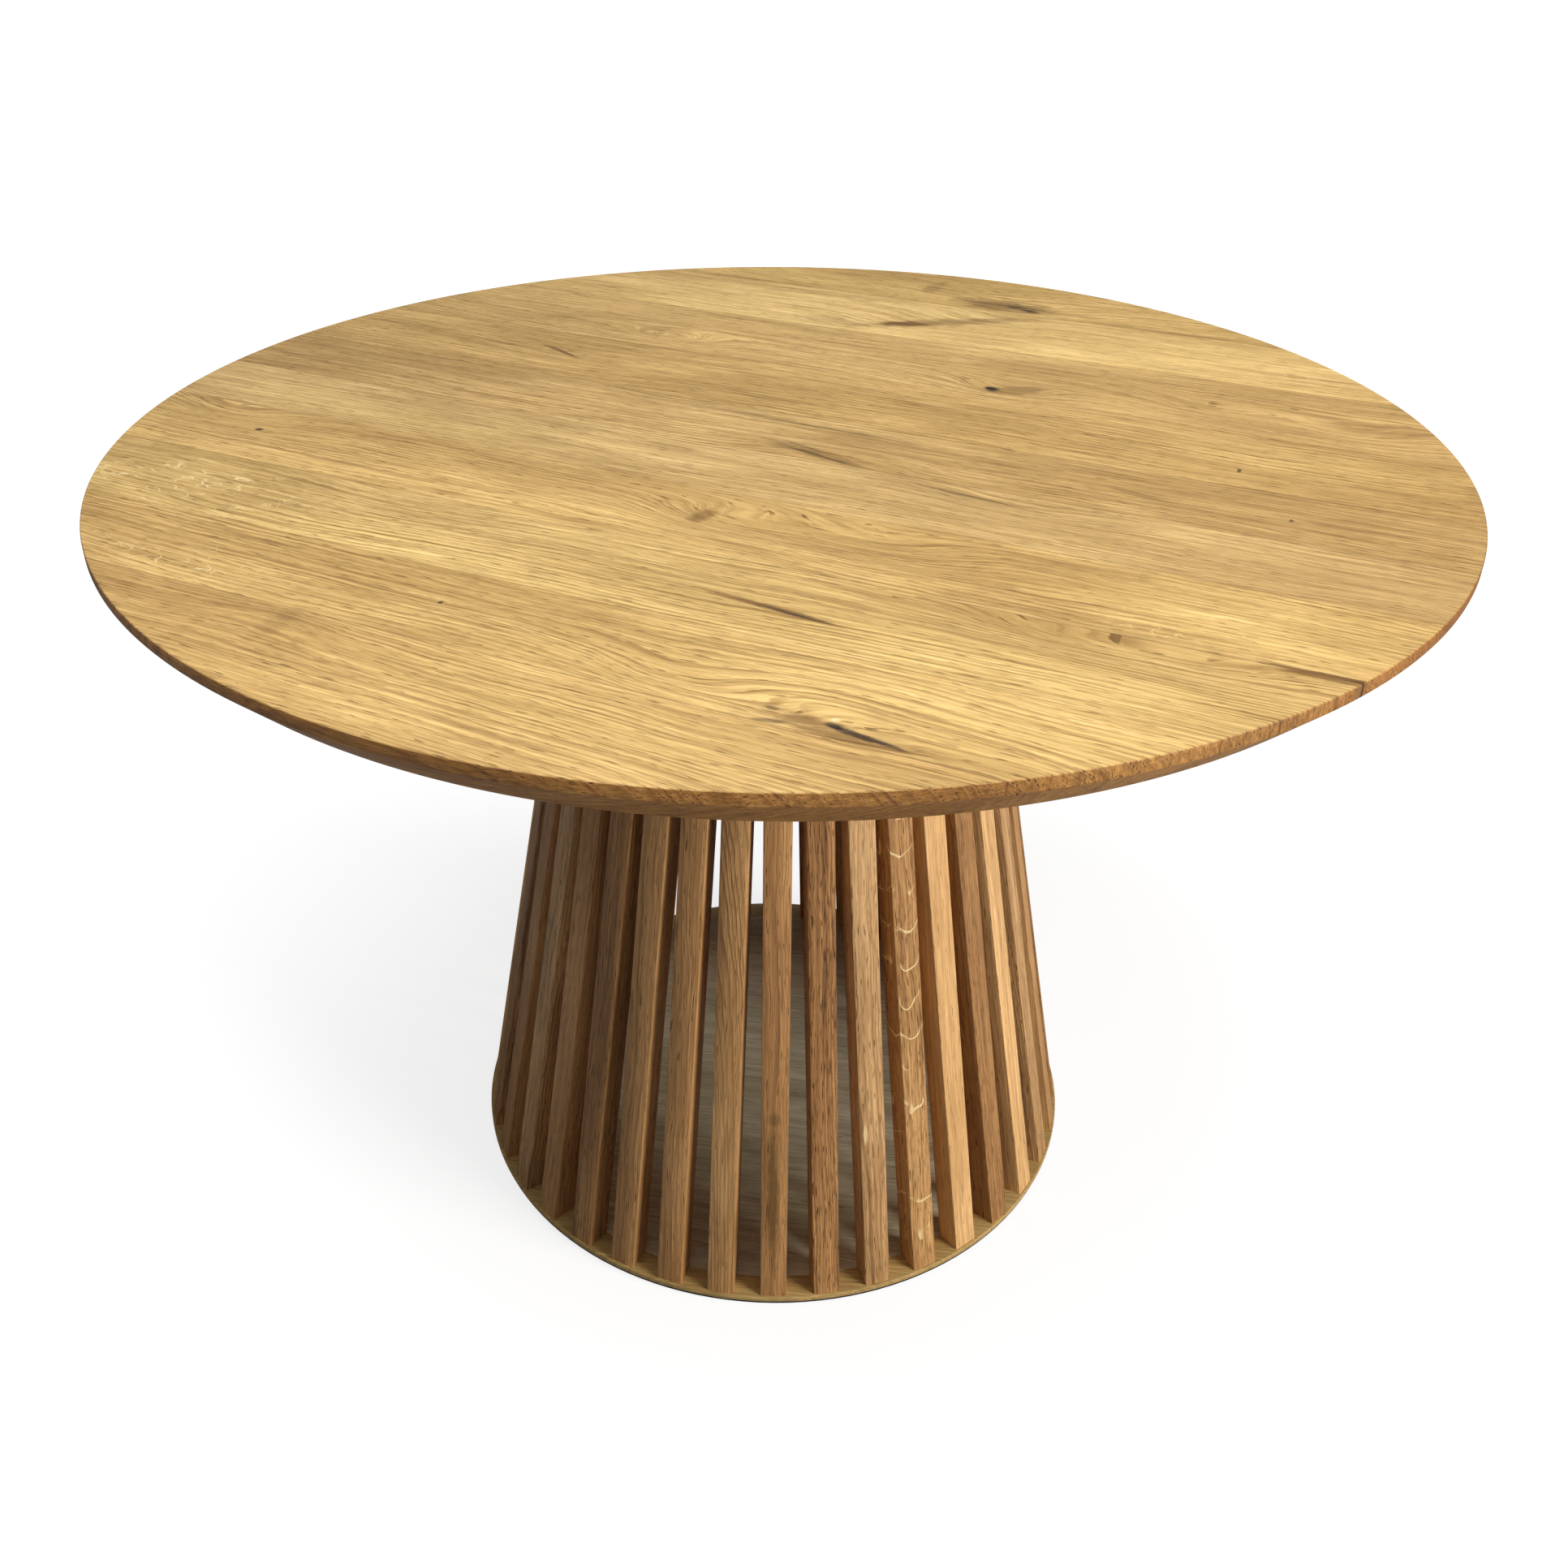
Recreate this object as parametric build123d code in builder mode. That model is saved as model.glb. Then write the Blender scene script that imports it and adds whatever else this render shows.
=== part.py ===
from build123d import *
from math import acos, atan2, cos, hypot, pi, radians, sin, sqrt, tan
import os

# Round dining table, millimetres, +Z up, standing on the floor at Z = 0 with its axis on Z.
# A solid oak top of edge-glued staves rests on a steel plate, which caps a cage of leaning
# oak slats. The cage stands on an oak disc over a steel base plate on felt pads.

# ---- driving dimensions -------------------------------------------------------------------
table_height = 755.0

# Top: full-length staves, glued edge to edge, then turned round with an undercut bevel.
top_diameter = 1150.0
top_thickness = 40.0
edge_height = 10.0
bevel_reach = 30.0
rim_arris = 1.2
grain_angle = -24.5
stave_widths = [120.0, 100.0, 108.0, 111.0, 96.0, 95.0, 126.0, 139.0, 132.0]
first_seam_offset = -455.0

# A short open gap where one glue line runs out at the rim.
gap_seam = 2
gap_width = 2.0
gap_length = 16.0

# Slats of the pedestal, each a straight square bar leaning in towards the top. At the head
# they stand almost side by side: the gap is between the inner edges of neighbours there.
slat_count = 38
slat_width = 25.0
slat_depth = 24.0
slat_arris = 0.8
slat_head_gap = 0.45
first_slat_angle = -89.5

# Foot: oak disc over a steel plate, on felt pads.
base_disc_diameter = 630.0
base_disc_thickness = 5.5
base_disc_ledge = 2.5
base_plate_thickness = 3.0
base_plate_setback = 1.0
felt_thickness = 1.5
felt_diameter = 40.0
felt_count = 12
felt_setback = 8.0

# Steel plate under the top, with bolts up into threaded inserts in the staves.
top_plate_thickness = 5.0
bolt_to_slats = 22.0
bolt_to_plate_rim = 25.0
bolt_count = 6
bolt_angle_to_grain = 30.0
bolt_diameter = 8.0
bolt_head_diameter = 14.0
bolt_head_height = 4.4
bolt_head_rounding = 3.0
bolt_socket_across = 5.0
bolt_socket_depth = 2.6
bolt_hole_diameter = 9.5
insert_diameter = 12.0
insert_length = 22.0
bolt_reach = 18.0

# Steel channels let into the underside across the grain, which keep the top flat.
channel_to_plate = 55.0
channel_to_bevel = 60.0
channel_width = 40.0
channel_height = 12.0
channel_wall = 2.5
channel_screw_count = 5
channel_screw_to_end = 80.0
channel_slot_run = 7.0
pan_head_diameter = 9.0
pan_head_height = 2.5
pan_head_rounding = 1.0
pan_screw_diameter = 4.5
pan_screw_length = 20.0

# Countersunk wood screws into the two ends of each slat.
wood_screw_diameter = 4.5
wood_screw_head_diameter = 8.6
foot_screw_length = 40.0
head_screw_length = 38.0
screw_tip = 4.0

# Clearances.
hole_clearance = 0.1
screw_plate_clearance = 0.4
channel_clearance = 0.5
countersink_angle = 90.0

# ---- derived heights and radii ------------------------------------------------------------
base_plate_z = felt_thickness
base_disc_z = base_plate_z + base_plate_thickness
slat_foot_z = base_disc_z + base_disc_thickness
underside_z = table_height - top_thickness
slat_head_z = underside_z - top_plate_thickness
slat_height = slat_head_z - slat_foot_z
slat_foot_radius = base_disc_diameter / 2 - base_disc_ledge
slat_head_inner_radius = (slat_width + slat_head_gap) / (2 * tan(pi / slat_count))
# The lean is the one at which a bar of this depth reaches from the head's inner radius to the
# foot's outer radius.
slat_run = slat_foot_radius - slat_head_inner_radius
slat_lean = acos(slat_depth / hypot(slat_run, slat_height)) - atan2(slat_height, slat_run)
slat_level_depth = slat_depth / cos(slat_lean)
slat_head_radius = slat_head_inner_radius + slat_level_depth
top_radius = top_diameter / 2
base_plate_radius = base_disc_diameter / 2 - base_plate_setback
bolt_circle_radius = slat_head_radius + bolt_to_slats
bolt_angle = grain_angle + bolt_angle_to_grain
top_plate_radius = bolt_circle_radius + bolt_to_plate_rim
channel_offset = top_plate_radius + channel_to_plate + channel_width / 2
channel_outer_edge = channel_offset + channel_width / 2
channel_half_chord = sqrt((top_radius - bevel_reach) ** 2 - channel_outer_edge**2)
channel_length = 2 * (channel_half_chord - channel_to_bevel)
channel_groove_depth = channel_height + channel_clearance / 2
channel_screw_run = channel_length - 2 * channel_screw_to_end
channel_screw_pitch = channel_screw_run / (channel_screw_count - 1)
slat_angles = [first_slat_angle + 360 / slat_count * i for i in range(slat_count)]

seam_offsets = [first_seam_offset]
for width in stave_widths[1:]:
    seam_offsets.append(seam_offsets[-1] + width)
stave_edges = [-top_radius] + seam_offsets + [top_radius]

os.makedirs("parts", exist_ok=True)


def save(name, block):
    """Label a finished piece and write it as one STEP file."""
    block.part.label = name
    export_step(block.part, f"parts/{name}.step")


def slat_centre_radius(z):
    """Distance from the table's axis to a slat's centre line at height z."""
    drawn_in = (slat_foot_radius - slat_head_radius) * (z - slat_foot_z) / slat_height
    return slat_foot_radius - drawn_in - slat_level_depth / 2


def facing_down(z):
    """Plane at height z that looks at the floor, with its X along the table's X."""
    return Plane(origin=(0, 0, z), x_dir=(1, 0, 0), z_dir=(0, 0, -1))


# Each screw enters its slat where half its grip lies on the slat's centre line.
foot_screw_grip = foot_screw_length - base_plate_thickness - base_disc_thickness
foot_screw_radius = slat_centre_radius(slat_foot_z + foot_screw_grip / 2)
head_screw_grip = head_screw_length - top_plate_thickness
head_screw_radius = slat_centre_radius(slat_head_z - head_screw_grip / 2)

# ---- top staves ---------------------------------------------------------------------------
# The grain runs along the X axis of this plane, which is turned about the table's axis.
grain_plane = Plane.XY.rotated((0, 0, grain_angle))
underside_plane = grain_plane.offset(underside_z)

for number, (near, far) in enumerate(zip(stave_edges, stave_edges[1:]), start=1):
    with BuildPart() as stave:
        with BuildSketch(Plane.XZ):
            with BuildLine():
                Polyline(
                    (0, underside_z),
                    (top_radius - bevel_reach, underside_z),
                    (top_radius, table_height - edge_height),
                    (top_radius, table_height - rim_arris),
                    (top_radius - rim_arris, table_height),
                    (0, table_height),
                    close=True,
                )
            make_face()
        revolve(axis=Axis.Z)
        # Keep the strip of the turned disc between this stave's two glue lines.
        with BuildSketch(underside_plane):
            with Locations((0, (near + far) / 2)):
                Rectangle(top_diameter, far - near)
        extrude(amount=top_thickness, mode=Mode.INTERSECT)
        # Grooves for the two channels, and pilot holes for their screws.
        with BuildSketch(underside_plane):
            with GridLocations(2 * channel_offset, 0, 2, 1):
                Rectangle(channel_width + channel_clearance, channel_length + channel_clearance)
        extrude(amount=channel_groove_depth, mode=Mode.SUBTRACT)
        with BuildSketch(underside_plane):
            with GridLocations(2 * channel_offset, channel_screw_pitch, 2, channel_screw_count):
                Circle(pan_screw_diameter / 2 + hole_clearance)
        extrude(
            amount=channel_height - channel_wall + pan_screw_length + hole_clearance,
            mode=Mode.SUBTRACT,
        )
        # Holes for the threaded inserts.
        with BuildSketch(underside_plane):
            with PolarLocations(bolt_circle_radius, bolt_count, start_angle=bolt_angle_to_grain):
                Circle(insert_diameter / 2 + hole_clearance)
        extrude(amount=insert_length + hole_clearance, mode=Mode.SUBTRACT)
        # The open end of one glue line, cut from the stave on its far side.
        if number == gap_seam + 2:
            gap_end = sqrt(top_radius**2 - near**2) + gap_width
            with BuildSketch(underside_plane):
                with BuildLine():
                    Polyline(
                        (gap_end, near),
                        (gap_end, near + gap_width),
                        (gap_end - gap_length, near),
                        close=True,
                    )
                make_face()
            extrude(amount=top_thickness, mode=Mode.SUBTRACT)
    save(f"top_stave_{number:02d}", stave)

# ---- channels under the top ---------------------------------------------------------------
# A channel lies open side down in its groove, with its legs flush with the underside. Slots
# in its web let the top swell and shrink across the grain.
for side, name in ((-1, "stiffener_channel_left"), (1, "stiffener_channel_right")):
    with BuildPart() as channel:
        with BuildSketch(underside_plane):
            with Locations((side * channel_offset, 0)):
                Rectangle(channel_width, channel_length)
        extrude(amount=channel_height)
        with BuildSketch(underside_plane):
            with Locations((side * channel_offset, 0)):
                Rectangle(channel_width - 2 * channel_wall, channel_length)
        extrude(amount=channel_height - channel_wall, mode=Mode.SUBTRACT)
        with BuildSketch(underside_plane):
            with Locations((side * channel_offset, 0)):
                with GridLocations(0, channel_screw_pitch, 1, channel_screw_count):
                    SlotCenterToCenter(
                        channel_slot_run,
                        pan_screw_diameter + 2 * screw_plate_clearance,
                        rotation=90,
                    )
        extrude(amount=channel_height, mode=Mode.SUBTRACT)
    save(name, channel)

web_face_z = underside_z + channel_height - channel_wall
channel_screw_total = 2 * channel_screw_count
with BuildPart() as stiffener_screws:
    with BuildSketch(grain_plane.offset(web_face_z)):
        with GridLocations(2 * channel_offset, channel_screw_pitch, 2, channel_screw_count):
            Circle(pan_head_diameter / 2)
    extrude(amount=-pan_head_height)
    fillet(stiffener_screws.faces().sort_by(Axis.Z)[0:channel_screw_total].edges(), pan_head_rounding)
    with BuildSketch(grain_plane.offset(web_face_z)):
        with GridLocations(2 * channel_offset, channel_screw_pitch, 2, channel_screw_count):
            Circle(pan_screw_diameter / 2)
    extrude(amount=pan_screw_length)
save("stiffener_screws", stiffener_screws)

# ---- steel plate under the top ------------------------------------------------------------
with BuildPart() as top_plate:
    with BuildSketch(Plane.XY.offset(slat_head_z)):
        Circle(top_plate_radius)
    extrude(amount=top_plate_thickness)
    with Locations(Plane.XY.offset(underside_z)):
        with PolarLocations(head_screw_radius, slat_count, start_angle=first_slat_angle):
            CounterSinkHole(
                wood_screw_diameter / 2 + screw_plate_clearance,
                wood_screw_head_diameter / 2 + screw_plate_clearance,
                counter_sink_angle=countersink_angle,
            )
    with Locations(Plane.XY.offset(underside_z)):
        with PolarLocations(bolt_circle_radius, bolt_count, start_angle=bolt_angle):
            Hole(bolt_hole_diameter / 2)
save("top_plate", top_plate)

# Threaded brass inserts, flush with the underside of the top.
with BuildPart() as top_inserts:
    with BuildSketch(underside_plane):
        with PolarLocations(bolt_circle_radius, bolt_count, start_angle=bolt_angle_to_grain):
            Circle(insert_diameter / 2)
            Circle(bolt_diameter / 2 + hole_clearance, mode=Mode.SUBTRACT)
    extrude(amount=insert_length)
save("top_inserts", top_inserts)

# Button-head bolts, up through the plate into the inserts.
with BuildPart() as top_bolts:
    bolt_places = grain_plane.offset(slat_head_z)
    with BuildSketch(bolt_places):
        with PolarLocations(bolt_circle_radius, bolt_count, start_angle=bolt_angle_to_grain):
            Circle(bolt_head_diameter / 2)
    extrude(amount=-bolt_head_height)
    head_rims = top_bolts.faces().sort_by(Axis.Z)[0:bolt_count].edges()
    fillet(head_rims, bolt_head_rounding)
    with BuildSketch(bolt_places):
        with PolarLocations(bolt_circle_radius, bolt_count, start_angle=bolt_angle_to_grain):
            Circle(bolt_diameter / 2)
    extrude(amount=top_plate_thickness + bolt_reach)
    with BuildSketch(bolt_places.offset(-bolt_head_height)):
        with PolarLocations(bolt_circle_radius, bolt_count, start_angle=bolt_angle_to_grain):
            RegularPolygon(bolt_socket_across / 2, 6, major_radius=False)
    extrude(amount=bolt_socket_depth, mode=Mode.SUBTRACT)
save("top_bolts", top_bolts)

# ---- slats --------------------------------------------------------------------------------
for number, angle in enumerate(slat_angles, start=1):
    outward = (cos(radians(angle)), sin(radians(angle)), 0)
    sideways = (sin(radians(angle)), -cos(radians(angle)), 0)
    with BuildPart() as slat:
        with BuildSketch(Plane(origin=(0, 0, 0), x_dir=outward, z_dir=sideways)):
            with BuildLine():
                Polyline(
                    (slat_foot_radius, slat_foot_z),
                    (slat_head_radius, slat_head_z),
                    (slat_head_radius - slat_level_depth, slat_head_z),
                    (slat_foot_radius - slat_level_depth, slat_foot_z),
                    close=True,
                )
            make_face()
        extrude(amount=slat_width / 2, both=True)
        chamfer(slat.edges().sort_by(SortBy.LENGTH)[-4:], slat_arris)
        # Pilot holes, drilled up into the foot and down into the head.
        foot = Vector(*outward) * foot_screw_radius + Vector(0, 0, slat_foot_z)
        with Locations(Plane(origin=foot, z_dir=(0, 0, -1))):
            Hole(wood_screw_diameter / 2 + hole_clearance, depth=foot_screw_grip + hole_clearance)
        head = Vector(*outward) * head_screw_radius + Vector(0, 0, slat_head_z)
        with Locations(Plane(origin=head, z_dir=(0, 0, 1))):
            Hole(wood_screw_diameter / 2 + hole_clearance, depth=head_screw_grip + hole_clearance)
    save(f"slat_{number:02d}", slat)


def wood_screw(length, plane):
    """Countersunk wood screw with its flat head on the plane, pointing into it."""
    head_radius = wood_screw_head_diameter / 2
    core_radius = wood_screw_diameter / 2
    head_cone = (head_radius - core_radius) / sin(radians(countersink_angle / 2))
    head_cone = head_cone * cos(radians(countersink_angle / 2))
    with BuildPart() as screw:
        with BuildSketch(Plane(origin=plane.origin, x_dir=(1, 0, 0), z_dir=(0, -1, 0))):
            with BuildLine():
                Polyline(
                    (0, 0),
                    (head_radius, 0),
                    (core_radius, -head_cone * plane.z_dir.Z),
                    (core_radius, -(length - screw_tip) * plane.z_dir.Z),
                    (0, -length * plane.z_dir.Z),
                    close=True,
                )
            make_face()
        revolve(axis=Axis(plane.origin, (0, 0, 1)))
    return screw.part


with BuildPart() as slat_head_screws:
    with PolarLocations(head_screw_radius, slat_count, start_angle=first_slat_angle):
        add(wood_screw(head_screw_length, Plane.XY.offset(underside_z)))
save("slat_head_screws", slat_head_screws)

with BuildPart() as slat_foot_screws:
    with PolarLocations(foot_screw_radius, slat_count, start_angle=first_slat_angle):
        add(wood_screw(foot_screw_length, facing_down(base_plate_z)))
save("slat_foot_screws", slat_foot_screws)

# ---- foot ---------------------------------------------------------------------------------
with BuildPart() as base_disc:
    with BuildSketch(Plane.XY.offset(base_disc_z)):
        Circle(base_disc_diameter / 2)
    extrude(amount=base_disc_thickness)
    with Locations(Plane.XY.offset(slat_foot_z)):
        with PolarLocations(foot_screw_radius, slat_count, start_angle=first_slat_angle):
            Hole(wood_screw_diameter / 2 + screw_plate_clearance)
save("base_disc", base_disc)

with BuildPart() as base_plate:
    with BuildSketch(Plane.XY.offset(base_plate_z)):
        Circle(base_plate_radius)
    extrude(amount=base_plate_thickness)
    with Locations(facing_down(base_plate_z)):
        with PolarLocations(foot_screw_radius, slat_count, start_angle=-first_slat_angle):
            CounterSinkHole(
                wood_screw_diameter / 2 + screw_plate_clearance,
                wood_screw_head_diameter / 2 + screw_plate_clearance,
                counter_sink_angle=countersink_angle,
            )
save("base_plate", base_plate)

# The felt pads stick to the plate just inside its rim, over some of the screw heads.
felt_circle_radius = base_plate_radius - felt_setback - felt_diameter / 2
with BuildPart() as felt_pads:
    with BuildSketch(Plane.XY):
        with PolarLocations(felt_circle_radius, felt_count, start_angle=first_slat_angle):
            Circle(felt_diameter / 2)
    extrude(amount=felt_thickness)
save("felt_pads", felt_pads)
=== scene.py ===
from math import cos, pi, radians, sin

import bmesh
import bpy
from mathutils import Euler, Matrix, Vector


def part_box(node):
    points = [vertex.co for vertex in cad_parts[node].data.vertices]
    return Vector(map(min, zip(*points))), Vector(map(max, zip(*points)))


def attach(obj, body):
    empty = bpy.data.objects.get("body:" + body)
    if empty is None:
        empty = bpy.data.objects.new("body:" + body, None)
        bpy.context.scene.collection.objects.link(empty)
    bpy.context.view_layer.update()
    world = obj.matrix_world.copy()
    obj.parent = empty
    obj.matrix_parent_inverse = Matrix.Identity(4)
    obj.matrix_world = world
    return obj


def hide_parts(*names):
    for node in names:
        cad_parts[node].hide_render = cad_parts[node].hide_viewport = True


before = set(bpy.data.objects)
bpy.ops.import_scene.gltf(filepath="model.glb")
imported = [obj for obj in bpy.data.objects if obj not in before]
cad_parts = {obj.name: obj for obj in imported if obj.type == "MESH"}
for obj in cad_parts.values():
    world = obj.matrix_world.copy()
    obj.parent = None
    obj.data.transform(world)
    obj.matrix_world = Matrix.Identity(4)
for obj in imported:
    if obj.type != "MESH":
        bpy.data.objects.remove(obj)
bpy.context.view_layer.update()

# ---- camera -----------------------------------------------------------
# The view of someone standing at the table: eye a little over 1.2 m high, 1.3 m from the
# table's axis, looking down across the top.
camera_data = bpy.data.cameras.new("camera")
camera_data.sensor_width = 36.0
camera_data.lens = 35.76
camera_data.shift_x = 0.0186
camera = bpy.data.objects.new("camera", camera_data)
bpy.context.scene.collection.objects.link(camera)
camera.location = (0.0, -1.311, 1.230)
looking = Euler((radians(57.48), radians(0.79), radians(0.68)), "ZYX")
camera.rotation_euler = looking.to_matrix().to_euler()
bpy.context.scene.camera = camera

# ---- light and floor --------------------------------------------------
# A bright studio: a wide window-like light low on the right, a soft box overhead, faint light
# from all round, and a plain pale floor that runs out to white.
bpy.context.scene.view_settings.view_transform = "Standard"
studio = bpy.data.worlds.new("studio")
studio.use_nodes = True
sky = studio.node_tree
room_light = sky.nodes["Background"]
room_light.inputs["Strength"].default_value = 0.20
room_light.inputs["Color"].default_value = (1.0, 1.0, 1.0, 1.0)
backdrop = sky.nodes.new("ShaderNodeBackground")
backdrop.inputs["Color"].default_value = (1.0, 1.0, 1.0, 1.0)
seen = sky.nodes.new("ShaderNodeLightPath")
either = sky.nodes.new("ShaderNodeMixShader")
sky.links.new(seen.outputs["Is Camera Ray"], either.inputs[0])
sky.links.new(room_light.outputs[0], either.inputs[1])
sky.links.new(backdrop.outputs[0], either.inputs[2])
sky.links.new(either.outputs[0], sky.nodes["World Output"].inputs["Surface"])
bpy.context.scene.world = studio


def soft_light(name, place, size, power, colour=(1.0, 1.0, 1.0)):
    """A square area light at a place, turned to the middle of the table."""
    data = bpy.data.lights.new(name, "AREA")
    data.shape = "SQUARE"
    data.size = size
    data.energy = power
    data.color = colour
    light = bpy.data.objects.new(name, data)
    light.location = place
    inwards = Vector((0, 0, 0.5)) - light.location
    light.rotation_euler = inwards.to_track_quat("-Z", "Y").to_euler()
    bpy.context.scene.collection.objects.link(light)


soft_light("window_light", Vector((4.5, -2.55, 2.1)), 2.4, 285.0, (1.0, 0.98, 0.94))
soft_light("overhead_light", Vector((-0.3, -0.5, 3.6)), 2.2, 82.0)

bpy.ops.object.select_all(action="DESELECT")
bpy.ops.mesh.primitive_plane_add(size=60.0, location=(0, 0, 0))
floor = bpy.context.object
floor.name = "floor"
floor_paint = bpy.data.materials.new("pale_floor")
floor_paint.use_nodes = True
paint = floor_paint.node_tree
floor_shader = paint.nodes["Principled BSDF"]
floor_shader.inputs["Base Color"].default_value = (0.35, 0.35, 0.355, 1.0)
floor_shader.inputs["Roughness"].default_value = 0.8
floor_shader.inputs["Specular IOR Level"].default_value = 0.1
floor_shader.inputs["Emission Color"].default_value = (1.0, 1.0, 1.0, 1.0)
seen = paint.nodes.new("ShaderNodeLightPath")
lift = paint.nodes.new("ShaderNodeMath")
lift.operation = "MULTIPLY"
floor_place = paint.nodes.new("ShaderNodeTexCoord")
floor_reach = paint.nodes.new("ShaderNodeVectorMath")
floor_reach.operation = "LENGTH"
whitening = paint.nodes.new("ShaderNodeMapRange")
whitening.inputs["From Min"].default_value = 1.2
whitening.inputs["From Max"].default_value = 3.2
whitening.inputs["To Min"].default_value = 0.79
whitening.inputs["To Max"].default_value = 1.0
paint.links.new(floor_place.outputs["Object"], floor_reach.inputs[0])
paint.links.new(floor_reach.outputs["Value"], whitening.inputs["Value"])
paint.links.new(whitening.outputs["Result"], lift.inputs[1])
paint.links.new(seen.outputs["Is Camera Ray"], lift.inputs[0])
paint.links.new(lift.outputs[0], floor_shader.inputs["Emission Strength"])
floor.data.materials.append(floor_paint)

# ---- the top's ten staves ---------------------------------------------
# Solid oak boards as long as the top is wide, glued edge to edge, turned round with a knife
# edge undercut at 45 degrees, sanded and oiled. One glue line has opened a little at the rim.
grain_angle = radians(-24.5)
along = Vector((cos(grain_angle), sin(grain_angle), 0))
across = Vector((-sin(grain_angle), cos(grain_angle), 0))
stave_names = sorted(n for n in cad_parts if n.startswith("top_stave_"))
top_low, top_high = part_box("top_stave_05")
underside_z, table_height = top_low.z, top_high.z
edge_height = 0.010
bevel_reach = 0.030
rim_margin = 0.020
rim_facets = 288


def from_axis(name):
    """How far each point of a CAD node is from the table's axis."""
    return [v.co.to_2d().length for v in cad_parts[name].data.vertices]


top_radius = max(from_axis("top_stave_05"))


def reach(name, direction):
    """Lowest and highest place of a CAD node along a direction."""
    places = [v.co.dot(direction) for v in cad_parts[name].data.vertices]
    return min(places), max(places)


def put(tree, kind, inputs=None, **settings):
    """Add a shader node, with its settings and with values or links for its inputs."""
    made = tree.nodes.new("ShaderNode" + kind)
    for name, value in settings.items():
        setattr(made, name, value)
    for key, value in (inputs or {}).items():
        if isinstance(value, bpy.types.NodeSocket):
            tree.links.new(value, made.inputs[key])
        else:
            made.inputs[key].default_value = value
    return made


def maths(tree, operation, first, second=0.0, third=0.0):
    """One Math node, as the socket it puts out."""
    inputs = {0: first, 1: second, 2: third}
    return put(tree, "Math", inputs, operation=operation).outputs[0]


def remap(tree, value, low, high, to_low=0.0, to_high=1.0, smooth=True):
    """A value taken from one range to another, held at the ends."""
    inputs = {"Value": value, 1: low, 2: high, 3: to_low, 4: to_high}
    kind = "SMOOTHSTEP" if smooth else "LINEAR"
    return put(tree, "MapRange", inputs, interpolation_type=kind, clamp=True).outputs["Result"]


def noise(tree, vector, stretch, seed, detail=2.0, roughness=0.5):
    """Noise scaled one way along the grain and another across it. A seed moves it on to
    another piece of wood."""
    scale = (stretch[0], stretch[1], stretch[1])
    spread = put(tree, "Mapping", {"Vector": vector, "Scale": scale}).outputs["Vector"]
    inputs = {"Vector": spread, "W": seed, "Scale": 1.0, "Detail": detail, "Roughness": roughness}
    return put(tree, "TexNoise", inputs, noise_dimensions="4D").outputs


def blend(tree, share, first, second, kind="MIX"):
    """Two colours mixed by a share."""
    inputs = {0: share, 6: first, 7: second}
    return put(tree, "Mix", inputs, data_type="RGBA", blend_type=kind).outputs[2]


def new_finish(name):
    """A new material, with its node tree and its shader."""
    finish = bpy.data.materials.new(name)
    finish.use_nodes = True
    return finish, finish.node_tree, finish.node_tree.nodes["Principled BSDF"]


def join_up(tree, surface, shader, strength, distance):
    """Feed a shader with a group's colour, roughness and height."""
    tree.links.new(surface.outputs["Color"], shader.inputs["Base Color"])
    tree.links.new(surface.outputs["Roughness"], shader.inputs["Roughness"])
    bump = {"Strength": strength, "Distance": distance, "Height": surface.outputs["Height"]}
    tree.links.new(put(tree, "Bump", bump).outputs["Normal"], shader.inputs["Normal"])


def new_group(name, values, colours=(), results=()):
    """A node group with a Vector input, value and colour inputs, and its outputs."""
    group = bpy.data.node_groups.new(name, "ShaderNodeTree")
    group.interface.new_socket("Vector", in_out="INPUT", socket_type="NodeSocketVector")
    for title, value in values:
        made = group.interface.new_socket(title, in_out="INPUT", socket_type="NodeSocketFloat")
        made.default_value = value
    for title in colours:
        group.interface.new_socket(title, in_out="INPUT", socket_type="NodeSocketColor")
    for title, kind in results:
        group.interface.new_socket(title, in_out="OUTPUT", socket_type="NodeSocket" + kind)
    start = group.nodes.new("NodeGroupInput").outputs
    end = group.nodes.new("NodeGroupOutput").inputs
    return group, start, end


# What every finish group puts out, by name and kind.
finish_results = (("Color", "Color"), ("Roughness", "Float"), ("Height", "Float"))

# Oak: growth rings about a wandering pith, dark late wood, rows of open pores in the early
# wood, streaks that follow the rings, fine fibre, and slow clouds of colour. Swell lifts the
# rings round a knot.
oak, given, made = new_group(
    "oiled_oak",
    values=(
        ("Seed", 0.0), ("Pith Across", 0.0), ("Pith Depth", -0.1), ("Pith Slope", 0.02),
        ("Wander", 0.02), ("Ring Width", 0.004), ("Ring Strength", 0.6), ("Streaks", 0.5),
        ("Pores", 0.3), ("Layering", 1.0), ("Swell", 0.0), ("Stain", 0.0), ("Knot", 0.0),
        ("Fleck", 0.0), ("Gold And Painted Sheen", 0.0), ("Brown", 0.0), ("Glue", 0.0), ("End Grain And Painted Shade", 0.0),
    ),
    colours=("Pale", "Mid", "Dark"),
    results=finish_results,
)
seed = given["Seed"]
place = put(oak, "SeparateXYZ", {0: given["Vector"]}).outputs
slow = noise(oak, given["Vector"], (1.7, 3.2), seed, 1.5)
slow_parts = put(oak, "SeparateColor", {0: slow["Color"]}).outputs
quick_seed = maths(oak, "ADD", seed, 11.0)
quick = noise(oak, given["Vector"], (11.0, 26.0), quick_seed, 2.5)["Fac"]
aside = maths(oak, "SUBTRACT", place["Y"], given["Pith Across"])
drift = maths(oak, "SUBTRACT", slow_parts[0], 0.5)
aside = maths(oak, "MULTIPLY_ADD", drift, given["Wander"], aside)
below = maths(oak, "SUBTRACT", place["Z"], given["Pith Depth"])
below = maths(oak, "MULTIPLY_ADD", place["X"], given["Pith Slope"], below)
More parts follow.
